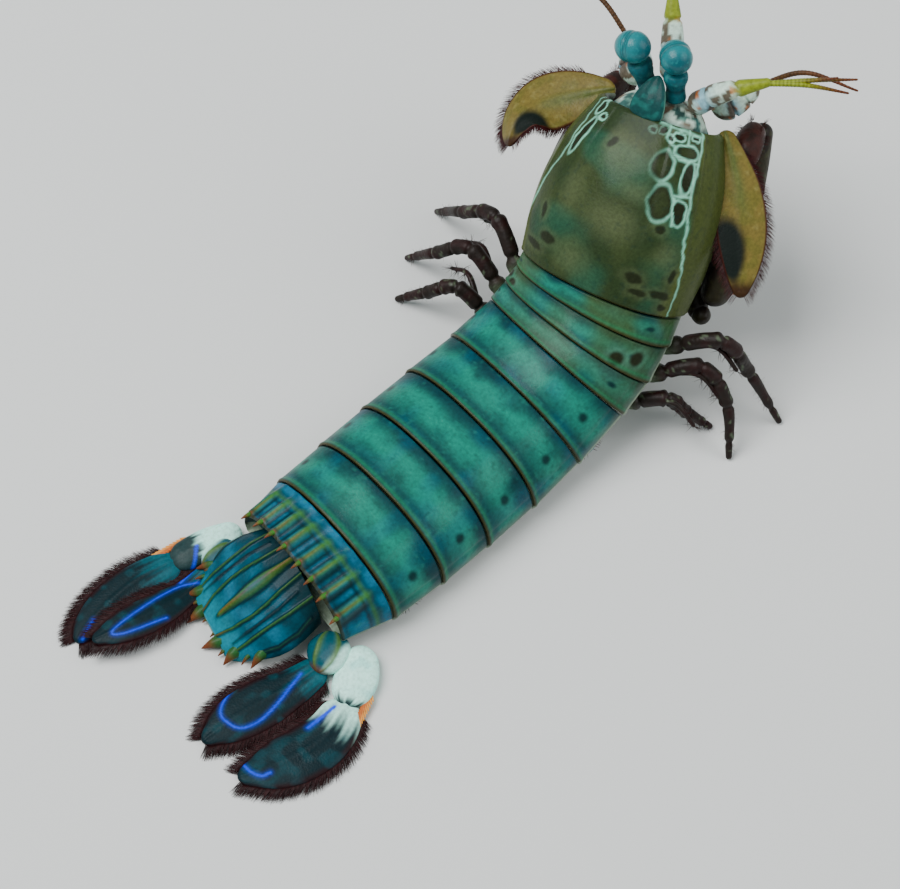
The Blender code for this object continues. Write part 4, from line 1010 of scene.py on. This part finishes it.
def blade_paint(side, kind):
    root_tint = BLADE_PALE if (side, kind) == ("right", "exopod") else BLADE_ROOT

    def paint(w):
        tint = plain(w, BLADE_BLACK)
        tint = over(tint, BLADE_MAROON, step(np.abs(w["side"]), 0.72, 0.97) * 0.8)
        tint = over(tint, colour("#043a42"), step(mottle(w["points"], 1.4, 61), 0.5, 0.8) * 0.6)
        tint = over(tint, root_tint, (1 - step(streaks(w), 0.06, 0.26)) * 0.85)
        return blue_marks(tint, w, side, w["rise"] > 0, 0.2)

    return paint


def blue_marks(tint, w, side, cover, glow=0.0):
    """Blue strokes laid on the top of a blade, each in a faint glow."""
    x, y = w["points"][:, 0], w["points"][:, 1]
    for marks, width in BLUE_MARKS[side]:
        line = curve(np.array(marks), np.linspace(0, 1, 26))
        tint = over(tint, MARK_BLUE, stroke(x, y, line, width + 0.4, 0.8) * glow * cover)
        tint = over(tint, MARK_BLUE, stroke(x, y, line, width * 0.7, 0.2) * cover)
    return tint


def pale_paint(side):
    stop = 0.5 if side == "left" else 0.82

    def paint(w):
        tint = plain(w, BLADE_PALE)
        tint = over(tint, PALE_TIP, step(mottle(w["points"], 1.5, 62), 0.5, 0.9) * 0.4)
        tint = over(tint, BLADE_BLACK, step(streaks(w), stop, stop + 0.14) * 0.97)
        return blue_marks(tint, w, side, step(w["q"], stop, stop + 0.1))

    return paint


def protopod_paint(w):
    tint = plain(w, colour("#0a4c58"))
    tint = over(tint, BLADE_PALE, step(np.abs(w["points"][:, 1] - 0.4), 12.0, 13.0) * 0.9)
    for mid in (0.35, -0.35):
        tint = over(tint, RIDGE_OLIVE, bell(w["side"], mid, 0.12) * (w["rise"] > 0) * 0.9)
    return over(tint, SPINE_BROWN, step(w["q"], 0.85, 0.98) * 0.7)


def midrib(q, s, angle):
    return 0.22 * bell(angle, np.pi / 2, 0.16) * (1 - 0.7 * q)


def twin_keels(q, s, angle):
    return sum(0.28 * bell(angle, at, 0.15) for at in (1.2, 1.95))


def fan_side(side):
    sign = SIDES[side]
    for kind, (path, sizes) in UROPODS[side].items():
        name = f"uropod_{kind}_{side}"
        if kind in ("exopod", "endopod"):
            limb(name, path, sizes, blade_paint(side, kind), blade_cuticle, "blade_black", [name],
                 rows=120, columns=96, relief=midrib)
            fringe(f"fringe_{kind}_{side}", path, sizes, (0, 0, 1), "blade_black", colour("#2c0b0e"), 2.6,
                   first=0.06, count=190, radius=0.08)
        elif kind == "exopod_base":
            base = limb(name, path, sizes, pale_paint(side), blade_cuticle, "blade_pale", [name],
                        rows=60, columns=60, squareness=2.4, relief=midrib)
            join(base, outer_spines(path, sizes, sign))
        else:
            limb(name, path, sizes, protopod_paint, plate_cuticle, "ridge_green", [name],
                 rows=48, columns=64, squareness=2.4, relief=twin_keels)


def outer_spines(path, sizes, sign):
    """The row of movable spines on the outer edge of the pale base."""
    path, made = np.array(path), []
    along = path[2] - path[1]
    along = along / np.linalg.norm(along)
    out = np.cross((0, 0, 1), along)
    out = -out if out[1] * sign < 0 else out
    for t in np.linspace(0.25, 0.97, OUTER_SPINES):
        centre = path[1] + (path[2] - path[1]) * t
        half = sizes[1][0] + (sizes[2][0] - sizes[1][0]) * t
        root = centre + out * half * 0.8
        tip = centre + out * (half + 0.55) + along * (1.3 + 0.9 * t)
        made.append(spine(root, tip, 0.34, colour("#b9622c"), colour("#e9a14a"), (0, 0, 0.1)))
    return made


for side in SIDES:
    fan_side(side)

# %% [markdown]
# ## Eyes and stalks
# Each eye is a barrel of thousands of lenses with a waist: two halves and a band between them. It sits
# on a teal stalk. The band is painted as thin dark lines across the barrel.

# %% Eyes
EYES = {"left": (80.5, 8.8, 45.0), "right": (83.3, 3.1, 45.0)}
EYE_RADIUS = 2.4
EYE_TALL = 1.15
EYE_WAIST = (0.06, 0.16)
EYE_GRID = (72, 84)
STALK_ROOT = (2.9, 2.1, 2.2)
STALK_SIZES = [(1.6, 1.6), (1.4, 1.4), (1.8, 1.8), (1.6, 1.6)]
EYE_TEAL = colour("#15747a")


def eye_piece(side):
    sign = SIDES[side]
    centre = np.array(EYES[side])
    root = in_head([STALK_ROOT], sign)[0]
    along = centre - root
    reach = np.linalg.norm(along)
    along /= reach
    stop = centre - along * EYE_RADIUS
    path = [root, root + along * reach * 0.3, stop - along * 1.2, stop]

    def stalk_paint(w):
        tint = plain(w, colour("#0e5a62"))
        tint = over(tint, colour("#2f8f88"), step(mottle(w["points"], 0.7, 71), 0.6, 0.8) * 0.5)
        return over(tint, NAVY, bell(w["q"], 0.35, 0.06) * 0.7)

    limb(f"eyestalk_{side}", path, STALK_SIZES, stalk_paint, limb_cuticle, "stalk_teal",
         [f"eyestalk_{side}"], rows=36, columns=36, up=HEAD_AXES[:, 1], ends=(0.3, 0.3))
    across = np.cross(along, (0, 0, 1))
    across /= np.linalg.norm(across)
    lift = np.cross(across, along)

    def place(i, v):
        t = -np.cos(np.pi * i / EYE_GRID[0])
        waist = 1 - EYE_WAIST[0] * bell(t, 0, EYE_WAIST[1])
        radius = EYE_RADIUS * np.sqrt(np.clip(1 - t * t, 0, 1)) * waist
        angle = 2 * np.pi * v
        points = (centre + lift * (t * EYE_RADIUS * EYE_TALL)[:, None]
                  + across * (radius * np.cos(angle))[:, None] + along * (radius * np.sin(angle))[:, None])
        return {"points": points, "t": t, "angle": angle}

    def paint(w):
        tint = plain(w, EYE_TEAL)
        tint = over(tint, colour("#0c4752"), step(np.abs(w["t"]), 0.45, 0.95) * 0.7)
        for mid in (-0.16, -0.055, 0.055, 0.16):
            tint = over(tint, NAVY, bell(w["t"], mid, 0.022) * 0.85)
        return over(tint, colour("#2f9a98"), step(mottle(w["points"], 0.35, 72), 0.7, 0.85) * 0.3)

    wrap(f"eye_{side}", *EYE_GRID, place, paint, cornea_chitin, "eye_teal", [f"eye_{side}"])


for side in SIDES:
    eye_piece(side)

# %% [markdown]
# ## Feelers
# The first feelers have a jointed stem and three whips, ringed like a chain of beads. The second have a
# mottled stem with one whip, and carry the broad antennal scale. Joints are made by pinching the rows.

# %% Feelers
ANTENNULE_PATHS = {
    "left": [(84.0, 3.8, 38.0), (87.0, 6.8, 43.5), (90.5, 10.2, 47.5)],
    "right": [(82.8, -0.8, 37.2), (85.2, -4.2, 41.5), (89.8, -9.2, 44.2)],
}
ANTENNULE_TIPS = {
    "left": [(98.5, 19.0, 52.5), (100.0, 13.5, 53.5), (95.5, 17.5, 55.0)],
    "right": [(95.5, -18.6, 44.5), (97.5, -18.4, 45.6), (95.2, -16.6, 46.6)],
}
ANTENNULE_SIZES = [(1.9, 1.8), (1.6, 1.5), (0.6, 0.6)]
ANTENNA_SIZES = [(2.7, 2.5), (2.4, 2.3), (1.2, 1.2)]
WHIP_RADIUS = 0.36
ANTENNA_LOCAL = [(2.4, 6.2, -2.6), (5.5, 8.6, -4.5), (8.0, 10.8, -5.2)]
ANTENNA_TIP = [(12.0, 17.0, -4.5), (12.0, 25.0, -6.0)]
STEM_CREAM = colour("#c4ddcc")
STEM_BROWN = colour("#4a2f14")
WHIP_GREEN = colour("#7d8a1c")
WHIP_RED = colour("#5c2f14")


def joints(places, depth=0.22, width=0.02):
    """Pinches a limb where its segments meet."""
    return lambda q: 1 - sum(depth * bell(q, at, width) for at in places)


def stem_paint(w):
    tint = plain(w, STEM_CREAM)
    tint = over(tint, colour("#2f8fb8"), bell(w["q"], 0.3, 0.12) * 0.6)
    tint = over(tint, STEM_BROWN, step(mottle(w["points"], 1.1, 81), 0.5, 0.58) * 0.9)
    tint = over(tint, colour("#b5621c"), step(mottle(w["points"], 0.9, 82), 0.72, 0.8) * 0.8)
    return tint


def antennule_paint(w):
    return over(stem_paint(w), WHIP_GREEN, step(w["q"], 0.6, 0.72))


def whip_paint(ring_mm, start, stop):
    def paint(w):
        tint = over(plain(w, start), stop, step(w["q"], 0.35, 0.9))
        return tint * (0.72 + 0.4 * (np.sin(w["s"] / ring_mm * 2 * np.pi) > -0.2))[:, None]

    return paint


def whip(path, radius, start, stop):
    """One ringed whip of a feeler."""
    return limb("whip", path, [(radius, radius)] * (len(path) - 1) + [(0.16, 0.16)],
                whip_paint(0.55, start, stop), limb_cuticle, "limb_olive", rows=110, columns=10,
                shape=lambda q: 1 + 0.07 * np.sin(q * 2 * np.pi * 30), ends=(0.2, 1.0))


def antennule_piece(side):
    stem_path = np.array(ANTENNULE_PATHS[side])
    stem = limb(f"antennule_{side}", stem_path, ANTENNULE_SIZES, antennule_paint, limb_cuticle,
                "limb_olive", [f"antennule_{side}"], rows=60, columns=20, shape=joints((0.33, 0.66)))
    start = curve(stem_path, np.array([0.9]))[0]
    whips = []
    for k, tip in enumerate(ANTENNULE_TIPS[side]):
        middle = (start + np.array(tip)) * 0.5 + (0, 0, 0.8 - 0.5 * k)
        whips.append(whip([start, middle, tip], WHIP_RADIUS, WHIP_GREEN, WHIP_RED))
    join(stem, whips)


def antenna_piece(side):
    sign = SIDES[side]
    stem_path = in_head(ANTENNA_LOCAL, sign)
    stem = limb(f"antenna_{side}", stem_path, ANTENNA_SIZES, stem_paint, limb_cuticle,
                "limb_olive", [f"antenna_{side}"], rows=60, columns=24, shape=joints((0.3, 0.65)))
    tip = in_head(ANTENNA_TIP, sign)
    start = stem_path[-1] - (stem_path[-1] - stem_path[-2]) * 0.15
    join(stem, [whip([start, tip[0], tip[1]], 0.38, STEM_BROWN, WHIP_RED)])


for side in SIDES:
    antennule_piece(side)
    antenna_piece(side)

# %% [markdown]
# ### Antennal scales
# Each scale is a broad thin blade, folded back beside the shield: olive-yellow in the middle, black
# toward its far end, with a red-brown rim and a dark red fringe.

# %% Antennal scales
SCALE_ROOT = (0.6, 9.0, -2.2)
SCALE_TIPS = {"left": (65.2, 18.0, 27.4), "right": (71.2, -21.8, 22.0)}
SCALE_BOW = {"left": 4.4, "right": 1.4}
SCALE_HALF = {"left": [1.2, 3.4, 4.6, 4.9, 4.4, 2.9, 0.8], "right": [1.1, 2.4, 3.4, 3.7, 3.4, 2.4, 0.8]}


def scale_paint(w):
    q, side = w["q"], w["side"]
    tint = plain(w, colour("#6b5e2a"))
    tint = over(tint, colour("#5a5a22"), step(mottle(w["points"], 1.2, 91), 0.45, 0.75) * 0.5)
    tint = over(tint, colour("#857c46"), step(mottle(w["points"], 0.6, 92), 0.66, 0.85) * 0.4)
    inner = side * w["sign"]
    patch = spot(q, inner, (0.70, 0.62), (0.21, 0.75), 0, 0.25)
    tint = over(tint, colour("#0a1410"), patch)
    tint = over(tint, colour("#3a5a30"), bell(side, 0.1, 0.25) * (1 - step(q, 0.3, 0.6)) * 0.5)
    tint = over(tint, colour("#3c140c"), step(np.abs(side), 0.9, 0.97) * 0.9)
    return over(tint, colour("#2a0d08"), step(q, 0.86, 0.95) * 0.9)


def antennal_scale_piece(side):
    sign = SIDES[side]
    root, tip = in_head([SCALE_ROOT], sign)[0], np.array(SCALE_TIPS[side])
    out = HEAD_AXES[:, 1] * sign
    halves = SCALE_HALF[side]
    t = np.linspace(0, 1, len(halves))[:, None]
    path = root + (tip - root) * t + out * SCALE_BOW[side] * np.sin(np.pi * t)
    sizes = [(half, 0.42) for half in halves]
    face = HEAD_AXES[:, 2] + out * 0.5
    limb(f"antennal_scale_{side}", path, sizes, lambda w: scale_paint({**w, "sign": sign}), blade_cuticle,
         "scale_yellow", [f"antennal_scale_{side}"], rows=120, columns=84, up=face, relief=midrib)
    fringe(f"fringe_scale_{side}", path, sizes, face, "scale_yellow", colour("#3a0f12"), 1.9,
           first=0.15, count=120, sag=0.02)


for side in SIDES:
    antennal_scale_piece(side)

# %% [markdown]
# ## Striking claws
# The claws are folded under the shield, dark brown and maroon. The long upper piece, the merus, runs back
# beside the shield and shows as a dark edge. Below it the propodus is folded forward, and the club at its
# end is red enamel with a slim finger laid in the groove. Short bristles ring the wrist, or carpus.

# %% Claws
MERUS_PATH = [(-25.0, 14.1, -5.8), (-18.0, 14.6, -5.7), (-9.0, 13.7, -5.4), (-3.2, 12.2, -5.2)]
MERUS_SIZES = [(2.0, 2.2), (2.7, 3.0), (2.5, 2.8), (1.9, 2.1)]
CLAW_BASE_PATH = [(-20.0, 7.5, -5.6), (-23.4, 9.8, -6.8), (-26.4, 12.2, -6.8), (-27.4, 14.4, -5.6)]
CLAW_BASE_SIZES = [(1.5, 1.5), (1.7, 1.7), (1.6, 1.6), (1.2, 1.2)]
CARPUS_PATH = [(-4.2, 12.3, -5.2), (-1.2, 11.8, -6.2), (0.6, 11.4, -8.0), (1.2, 11.3, -9.6)]
CARPUS_SIZES = [(1.7, 1.9), (2.1, 2.2), (1.8, 1.9), (1.3, 1.3)]
WRIST_RINGS, WRIST_RADIUS = (14, 6), 1.7
PROPODUS_PATH = [(2.2, 11.3, -11.6), (-4.0, 12.0, -11.3), (-12.0, 13.2, -11.2), (-18.8, 13.8, -11.4)]
PROPODUS_SIZES = [(1.4, 1.5), (2.0, 2.3), (1.9, 2.2), (1.4, 1.6)]
CLUB_PATH = [(-19.2, 13.8, -11.4), (-20.4, 13.7, -11.5), (-22.4, 13.2, -11.7), (-24.2, 12.4, -11.8)]
CLUB_SIZES = [(1.3, 1.5), (2.2, 2.4), (2.3, 2.6), (0.9, 1.1)]
FINGER_PATH = [(-22.5, 12.4, -11.6), (-20.5, 10.6, -11.4), (-15.0, 9.9, -11.2), (-8.0, 9.2, -10.8)]
FINGER_SIZES = [(1.2, 1.3), (0.9, 1.1), (0.7, 0.9), (0.3, 0.3)]
CLAW_OLIVE = colour("#2c2817")
CLAW_DEEP = colour("#1c1310")
CLAW_PALE = colour("#3f4226")
CLUB_RED = colour("#6d2410")


def claw_paint(w):
    tint = plain(w, CLAW_OLIVE)
    tint = over(tint, CLAW_DEEP, step(mottle(w["points"], 2.2, 101), 0.4, 0.7) * 0.85)
    tint = over(tint, CLAW_PALE, step(mottle(w["points"], 0.7, 102), 0.66, 0.85) * 0.5)
    return over(tint, CLAW_DEEP, (step(w["q"], 0.93, 1.0) + 1 - step(w["q"], 0.0, 0.06)) * 0.7)


def wrist_paint(w):
    tint = plain(w, colour("#3a1a14"))
    return over(tint, colour("#1c1410"), step(mottle(w["points"], 1.1, 104), 0.4, 0.7) * 0.8)


def club_paint(w):
    tint = plain(w, CLUB_RED)
    tint = over(tint, colour("#c2703a"), step(mottle(w["points"], 1.0, 103), 0.5, 0.8) * 0.6)
    return over(tint, colour("#e8d9c0"), step(w["rise"], 0.75, 1.0) * 0.5)


def merus_saddle(q, s, angle):
    """A raised saddle on the merus, where the spring of the strike sits."""
    return 0.25 * np.exp(-((angle - np.pi / 2) / 0.5) ** 2 - ((q - 0.72) / 0.12) ** 2)


def wrist_bristles(side, sign):
    along, around = WRIST_RINGS
    share = np.repeat(np.linspace(0.1, 0.8, along), around)
    ring = np.tile(np.arange(around) * np.pi / 3, along)
    outs = HEAD_AXES[:, 1] * np.cos(ring)[:, None] + HEAD_AXES[:, 0] * np.sin(ring)[:, None]
    roots = curve(in_head(CARPUS_PATH, sign), share) + outs * WRIST_RADIUS
    coat(f"bristles_wrist_{side}", roots, outs, 1.3, 0.05, colour("#3a1410"), 0.2, seta_chitin, "limb_olive")


def claw_piece(side):
    sign = SIDES[side]
    up = HEAD_AXES[:, 2]

    def part(kind, path, sizes, paint=claw_paint, surface=limb_cuticle, slot="limb_olive", turn=up, **more):
        name = f"raptorial_{kind}_{side}"
        return limb(name, in_head(path, sign), sizes, paint, surface, slot, [name], up=turn, **more)

    part("merus", MERUS_PATH, MERUS_SIZES, rows=110, columns=56, relief=merus_saddle)
    part("base", CLAW_BASE_PATH, CLAW_BASE_SIZES, rows=60, columns=36, shape=joints((0.4, 0.75), 0.12))
    part("carpus", CARPUS_PATH, CARPUS_SIZES, wrist_paint, rows=50, columns=40, turn=HEAD_AXES[:, 1])
    wrist_bristles(side, sign)
    part("propodus", PROPODUS_PATH, PROPODUS_SIZES, rows=100, columns=52)
    club = part("dactyl", CLUB_PATH, CLUB_SIZES, club_paint, club_enamel, "club_red", rows=60, columns=48)
    finger = limb("finger", in_head(FINGER_PATH, sign), FINGER_SIZES, club_paint, club_enamel, "club_red",
                  rows=70, columns=24, up=up)
    join(club, [finger])


for side in SIDES:
    claw_piece(side)

# %% [markdown]
# ## Mouth legs
# Behind the mouth three small folded legs on each side pass food forward. Each ends in a round hand
# fringed with bristles.

# %% Mouth legs
MOUTH_ROOT_PATH = [(-18.5, 4.6, -6.6), (-12.5, 4.8, -7.4), (-6.5, 4.4, -6.8)]
MOUTH_ROOT_SIZES = [(1.5, 1.2), (1.9, 1.4), (1.3, 1.1)]
MOUTH_ARMS = 3
MOUTH_ARM_SIZES = [(0.9, 0.9), (0.85, 0.85), (1.1, 0.8), (0.3, 0.3)]
MOUTH_TUFTS = 30


def mouth_paint(w):
    tint = plain(w, colour("#4f5528"))
    return over(tint, colour("#2a1c14"), step(mottle(w["points"], 0.9, 111), 0.45, 0.7) * 0.8)


def mouth_legs(side):
    sign = SIDES[side]
    root = limb(f"maxillipeds_{side}", in_head(MOUTH_ROOT_PATH, sign), MOUTH_ROOT_SIZES, mouth_paint,
                limb_cuticle, "limb_olive", [f"maxillipeds_{side}"], rows=40, columns=28, up=HEAD_AXES[:, 2])
    arms, ends, outs = [], [], []
    for k in range(MOUTH_ARMS):
        x = -16.5 + 4.2 * k
        bones = in_head([(x, 4.8, -7.4), (x - 1.0, 6.4 - k * 0.5, -11.5), (x + 3.4, 4.6, -14.0),
                         (x + 4.4, 3.2, -11.6)], sign)
        arms.append(limb("arm", bones, MOUTH_ARM_SIZES, mouth_paint, limb_cuticle, "limb_olive",
                         rows=60, columns=18, up=HEAD_AXES[:, 0], shape=joints((0.33, 0.66), 0.25)))
        share = np.linspace(0.45, 0.9, MOUTH_TUFTS)
        ends.append(curve(bones, share))
        outs.append(-HEAD_AXES[:, 2] * 0.6 + np.random.default_rng(k).normal(0, 0.5, (MOUTH_TUFTS, 3)))
    join(root, arms)
    roots = np.vstack(ends)
    coat(f"bristles_mouth_{side}", roots, np.vstack(outs), 1.5, 0.05, colour("#8a7a4a"), 0.15, seta_chitin,
         "limb_olive")


for side in SIDES:
    mouth_legs(side)

# %% [markdown]
# ## Walking legs
# Six slim legs carry the front of the body. They are almost black with maroon patches, each segment
# swells before its joint, and long bristles stand toward the foot. Each has a slender side branch near
# its root. The feet rest on the floor on small flats, cut by a plane just as the solids are.

# %% Walking legs
LEGS = {
    "walking_leg_1_right": [(62.3, -15.2, 11.4), (66.6, -22.8, 16.6), (69.2, -27.0, 9.0),
                            (70.2, -33.2, 0.2)],
    "walking_leg_2_right": [(58.4, -15.8, 8.6), (63.6, -22.0, 12.0), (63.6, -27.5, 7.5),
                            (60.2, -31.6, 0.2)],
    "walking_leg_3_right": [(54.2, -15.6, 6.0), (58.2, -20.4, 7.6), (60.2, -23.0, 4.0),
                            (62.6, -26.2, 0.2)],
    "walking_leg_1_left": [(57.6, 8.2, 9.6), (61.0, 16.5, 14.5), (61.0, 23.5, 9.0), (62.5, 30.5, 0.2)],
    "walking_leg_2_left": [(55.2, 9.0, 7.0), (56.0, 17.0, 11.0), (54.0, 22.5, 6.5), (53.0, 28.0, 0.2)],
    "walking_leg_3_left": [(52.0, 9.2, 4.6), (51.0, 15.2, 8.0), (48.6, 19.5, 4.6), (46.5, 24.0, 0.2)],
}
LEG_SIZES = [(1.25, 1.25), (1.15, 1.15), (0.95, 0.95), (0.45, 0.45)]
LEG_JOINTS = (0.12, 0.34, 0.5, 0.68, 0.9)
BRANCH_SIZES = [(0.5, 0.5), (0.5, 0.4), (0.3, 0.3)]
LEG_TUFTS, BRANCH_TUFTS = (60, 1.6), (24, 1.9)
EXOPOD_REACH = [(2.5, 4.5, 1.5), (3.0, 8.5, -1.5)]
LEG_UP = (0.6, 0.1, 0.8)
LEG_MAROON = colour("#240d0c")
LEG_OLIVE = colour("#1d1410")
LEG_PALE = colour("#7a8f70")


def leg_paint(w):
    tint = plain(w, LEG_OLIVE)
    tint = over(tint, LEG_MAROON, step(mottle(w["points"], 1.8, 121), 0.4, 0.65) * 0.85)
    tint = over(tint, LEG_PALE, step(mottle(w["points"], 0.6, 122), 0.76, 0.9) * 0.35)
    return over(tint, LEG_PALE, bell(w["q"], 0.02, 0.05) * 0.7)


def leg_shape(q):
    """Each segment swells before its joint, as a jointed leg does."""
    pinch = sum(0.28 * bell(q, at, 0.012) for at in LEG_JOINTS)
    swell = sum(0.14 * np.exp(-((q - at + 0.035) / 0.022) ** 2) for at in LEG_JOINTS)
    return 1 - pinch + swell


def cut_at_floor(bm):
    """Cuts away what is below the floor and closes the cut with a flat face."""
    cut = bmesh.ops.bisect_plane(bm, geom=bm.verts[:] + bm.edges[:] + bm.faces[:], dist=1e-7,
                                 plane_co=(0, 0, 0), plane_no=(0, 0, -1), clear_outer=True)
    edges = [e for e in cut["geom_cut"] if isinstance(e, bmesh.types.BMEdge)]
    bmesh.ops.holes_fill(bm, edges=edges, sides=0)


def leg_piece(name):
    sign = SIDES[name.split("_")[-1]]
    bones = np.array(LEGS[name])
    leg = limb(name, bones, LEG_SIZES, leg_paint, limb_cuticle, "limb_maroon", [name], rows=110,
               columns=22, up=LEG_UP, shape=leg_shape)
    root = bones[0] + (bones[1] - bones[0]) * 0.35
    reach = np.vstack([root] + [root + np.array((x, y * sign, z)) for x, y, z in EXOPOD_REACH])
    branch = limb("branch", reach, BRANCH_SIZES, leg_paint, limb_cuticle, "limb_maroon",
                  rows=40, columns=14, up=LEG_UP)
    join(leg, [branch])
    reshape(leg.data, cut_at_floor)
    rng = np.random.default_rng(SEED + len(bones))
    roots = np.vstack([curve(bones, np.linspace(0.5, 0.93, LEG_TUFTS[0])),
                       curve(reach, np.linspace(0.5, 1.0, BRANCH_TUFTS[0]))])
    down = bones[-1] - bones[-2]
    down /= np.linalg.norm(down)
    outs = down * 0.7 + rng.normal(0, 0.55, (len(roots), 3))
    lengths = np.r_[np.full(*LEG_TUFTS), np.full(*BRANCH_TUFTS)]
    coat("bristles_" + name, roots, outs, lengths, 0.05, colour("#2a0f0c"), 0.2, seta_chitin, "limb_maroon")


for name in LEGS:
    leg_piece(name)

# %% [markdown]
# ## Swimming legs
# A pair of soft flaps hangs under each of the first five abdominal plates. Their outer edges reach the
# floor. They are pale, thin and fringed, and show at the plates' sides.

# %% Swimming legs
PLEOPOD_HALF = [1.8, 3.1, 3.3, 2.3]
PLEOPOD_THICK = [0.7, 0.65, 0.6, 0.6]


def flap_paint(w):
    tint = plain(w, colour("#9fb3a4"))
    tint = over(tint, colour("#2f7f96"), step(w["q"], 0.75, 0.98) * 0.6)
    return over(tint, colour("#6d8478"), step(mottle(w["points"], 0.9, 131), 0.5, 0.8) * 0.6)


def flap_piece(number, side):
    plate = f"abdomen_somite_{number}"
    sign = SIDES[side]
    ahead = ORDER[ORDER.index(plate) + 1]
    middle = blend(REAR_EDGES[plate], REAR_EDGES[ahead], 0.45)
    level = middle[2]
    path = in_place(middle, [(0.0, sign * y, 0.0) for y in (2.4, 5.8, 9.6, 12.6)])
    path[:, 2] -= (1.9, 2.1, 2.7, level - 0.55)
    path[2, 2] = min(path[2, 2], 0.5 * (path[1, 2] + path[3, 2]) + 0.2)
    sizes = list(zip(PLEOPOD_HALF, PLEOPOD_THICK))
    name = f"pleopod_{number}_{side}"
    flap = limb(name, path, sizes, flap_paint, gill_membrane, "gill_pale", [name], rows=50, columns=44)
    reshape(flap.data, cut_at_floor)
    fringe("fringe_" + name, path, sizes, (0, 0, 1), "gill_pale", colour("#5f3a3a"), 0.9, first=0.3,
           count=36, rows=50)


for side in SIDES:
    for number in range(1, 6):
        flap_piece(number, side)

# %% [markdown]
# ## The floor
# The display floor is pale matt paper, at the level of the feet.

# %% Floor
FLOOR_SIZE_M = 2.0
PAPER_GREY = (0.72, 0.73, 0.72, 1.0)
floor = show("floor", grid("floor", 1, 1, FLOOR_SIZE_M))
floor_paper = bpy.data.materials.new("floor_paper")
floor_paper.use_nodes = True
paper = floor_paper.node_tree.nodes["Principled BSDF"]
paper.inputs["Base Color"].default_value = PAPER_GREY
paper.inputs["Roughness"].default_value = 0.9
floor.data.materials.append(floor_paper)
print("floor at z =", floor.location.z)

# %% [markdown]
# ## Light
# Two large soft lamps and a pale sky light the animal evenly, as in a studio. Each lamp has a place and a
# width in metres, and a power in watts.

# %% Lamps
SKY_TINT, SKY_STRENGTH = (0.80, 0.90, 0.92, 1.0), 0.40
LAMPS = {
    "key": ((-0.25, 0.30, 0.75), 0.55, 9.0),
    "fill": ((0.45, -0.55, 0.60), 0.70, 4.0),
}
TARGET = Vector((33.71 - ORIGIN[0], 0.54 - ORIGIN[1], 0.0)) * MM
for name, (place, size, power_w) in LAMPS.items():
    lamp = bpy.data.lights.new(name, "AREA")
    lamp.size = size
    lamp.energy = power_w
    holder = show(name, lamp)
    holder.location = place
    holder.rotation_euler = (TARGET - holder.location).to_track_quat("-Z", "Y").to_euler()
world = bpy.data.worlds.new("studio")
bpy.context.scene.world = world
world.use_nodes = True
world.node_tree.nodes["Background"].inputs["Color"].default_value = SKY_TINT
world.node_tree.nodes["Background"].inputs["Strength"].default_value = SKY_STRENGTH
print(len(LAMPS), "lamps and a sky of strength", SKY_STRENGTH)

# %% [markdown]
# ## Camera
# The camera stands where the photograph's was. Its place was solved from the rear margins of the plates.

# %% Camera
AZIMUTH, ELEVATION = np.radians((-46.906, 61.505))
DISTANCE_MM = 400.0
FOCAL_PX, FRAME_PX = 2673.4, 900
SENSOR_MM = 36.0
back = Vector((np.sin(AZIMUTH) * np.cos(ELEVATION), -np.cos(AZIMUTH) * np.cos(ELEVATION), np.sin(ELEVATION)))
lens = bpy.data.cameras.new("camera")
lens.sensor_width = SENSOR_MM
lens.lens = SENSOR_MM * FOCAL_PX / FRAME_PX
lens.clip_start = 0.01
camera = show("camera", lens)
camera.location = TARGET + back * (DISTANCE_MM * MM)
camera.rotation_euler = (-back).to_track_quat("-Z", "Y").to_euler()
bpy.context.scene.camera = camera
print("camera", DISTANCE_MM, "mm away, lens", round(lens.lens, 1), "mm")
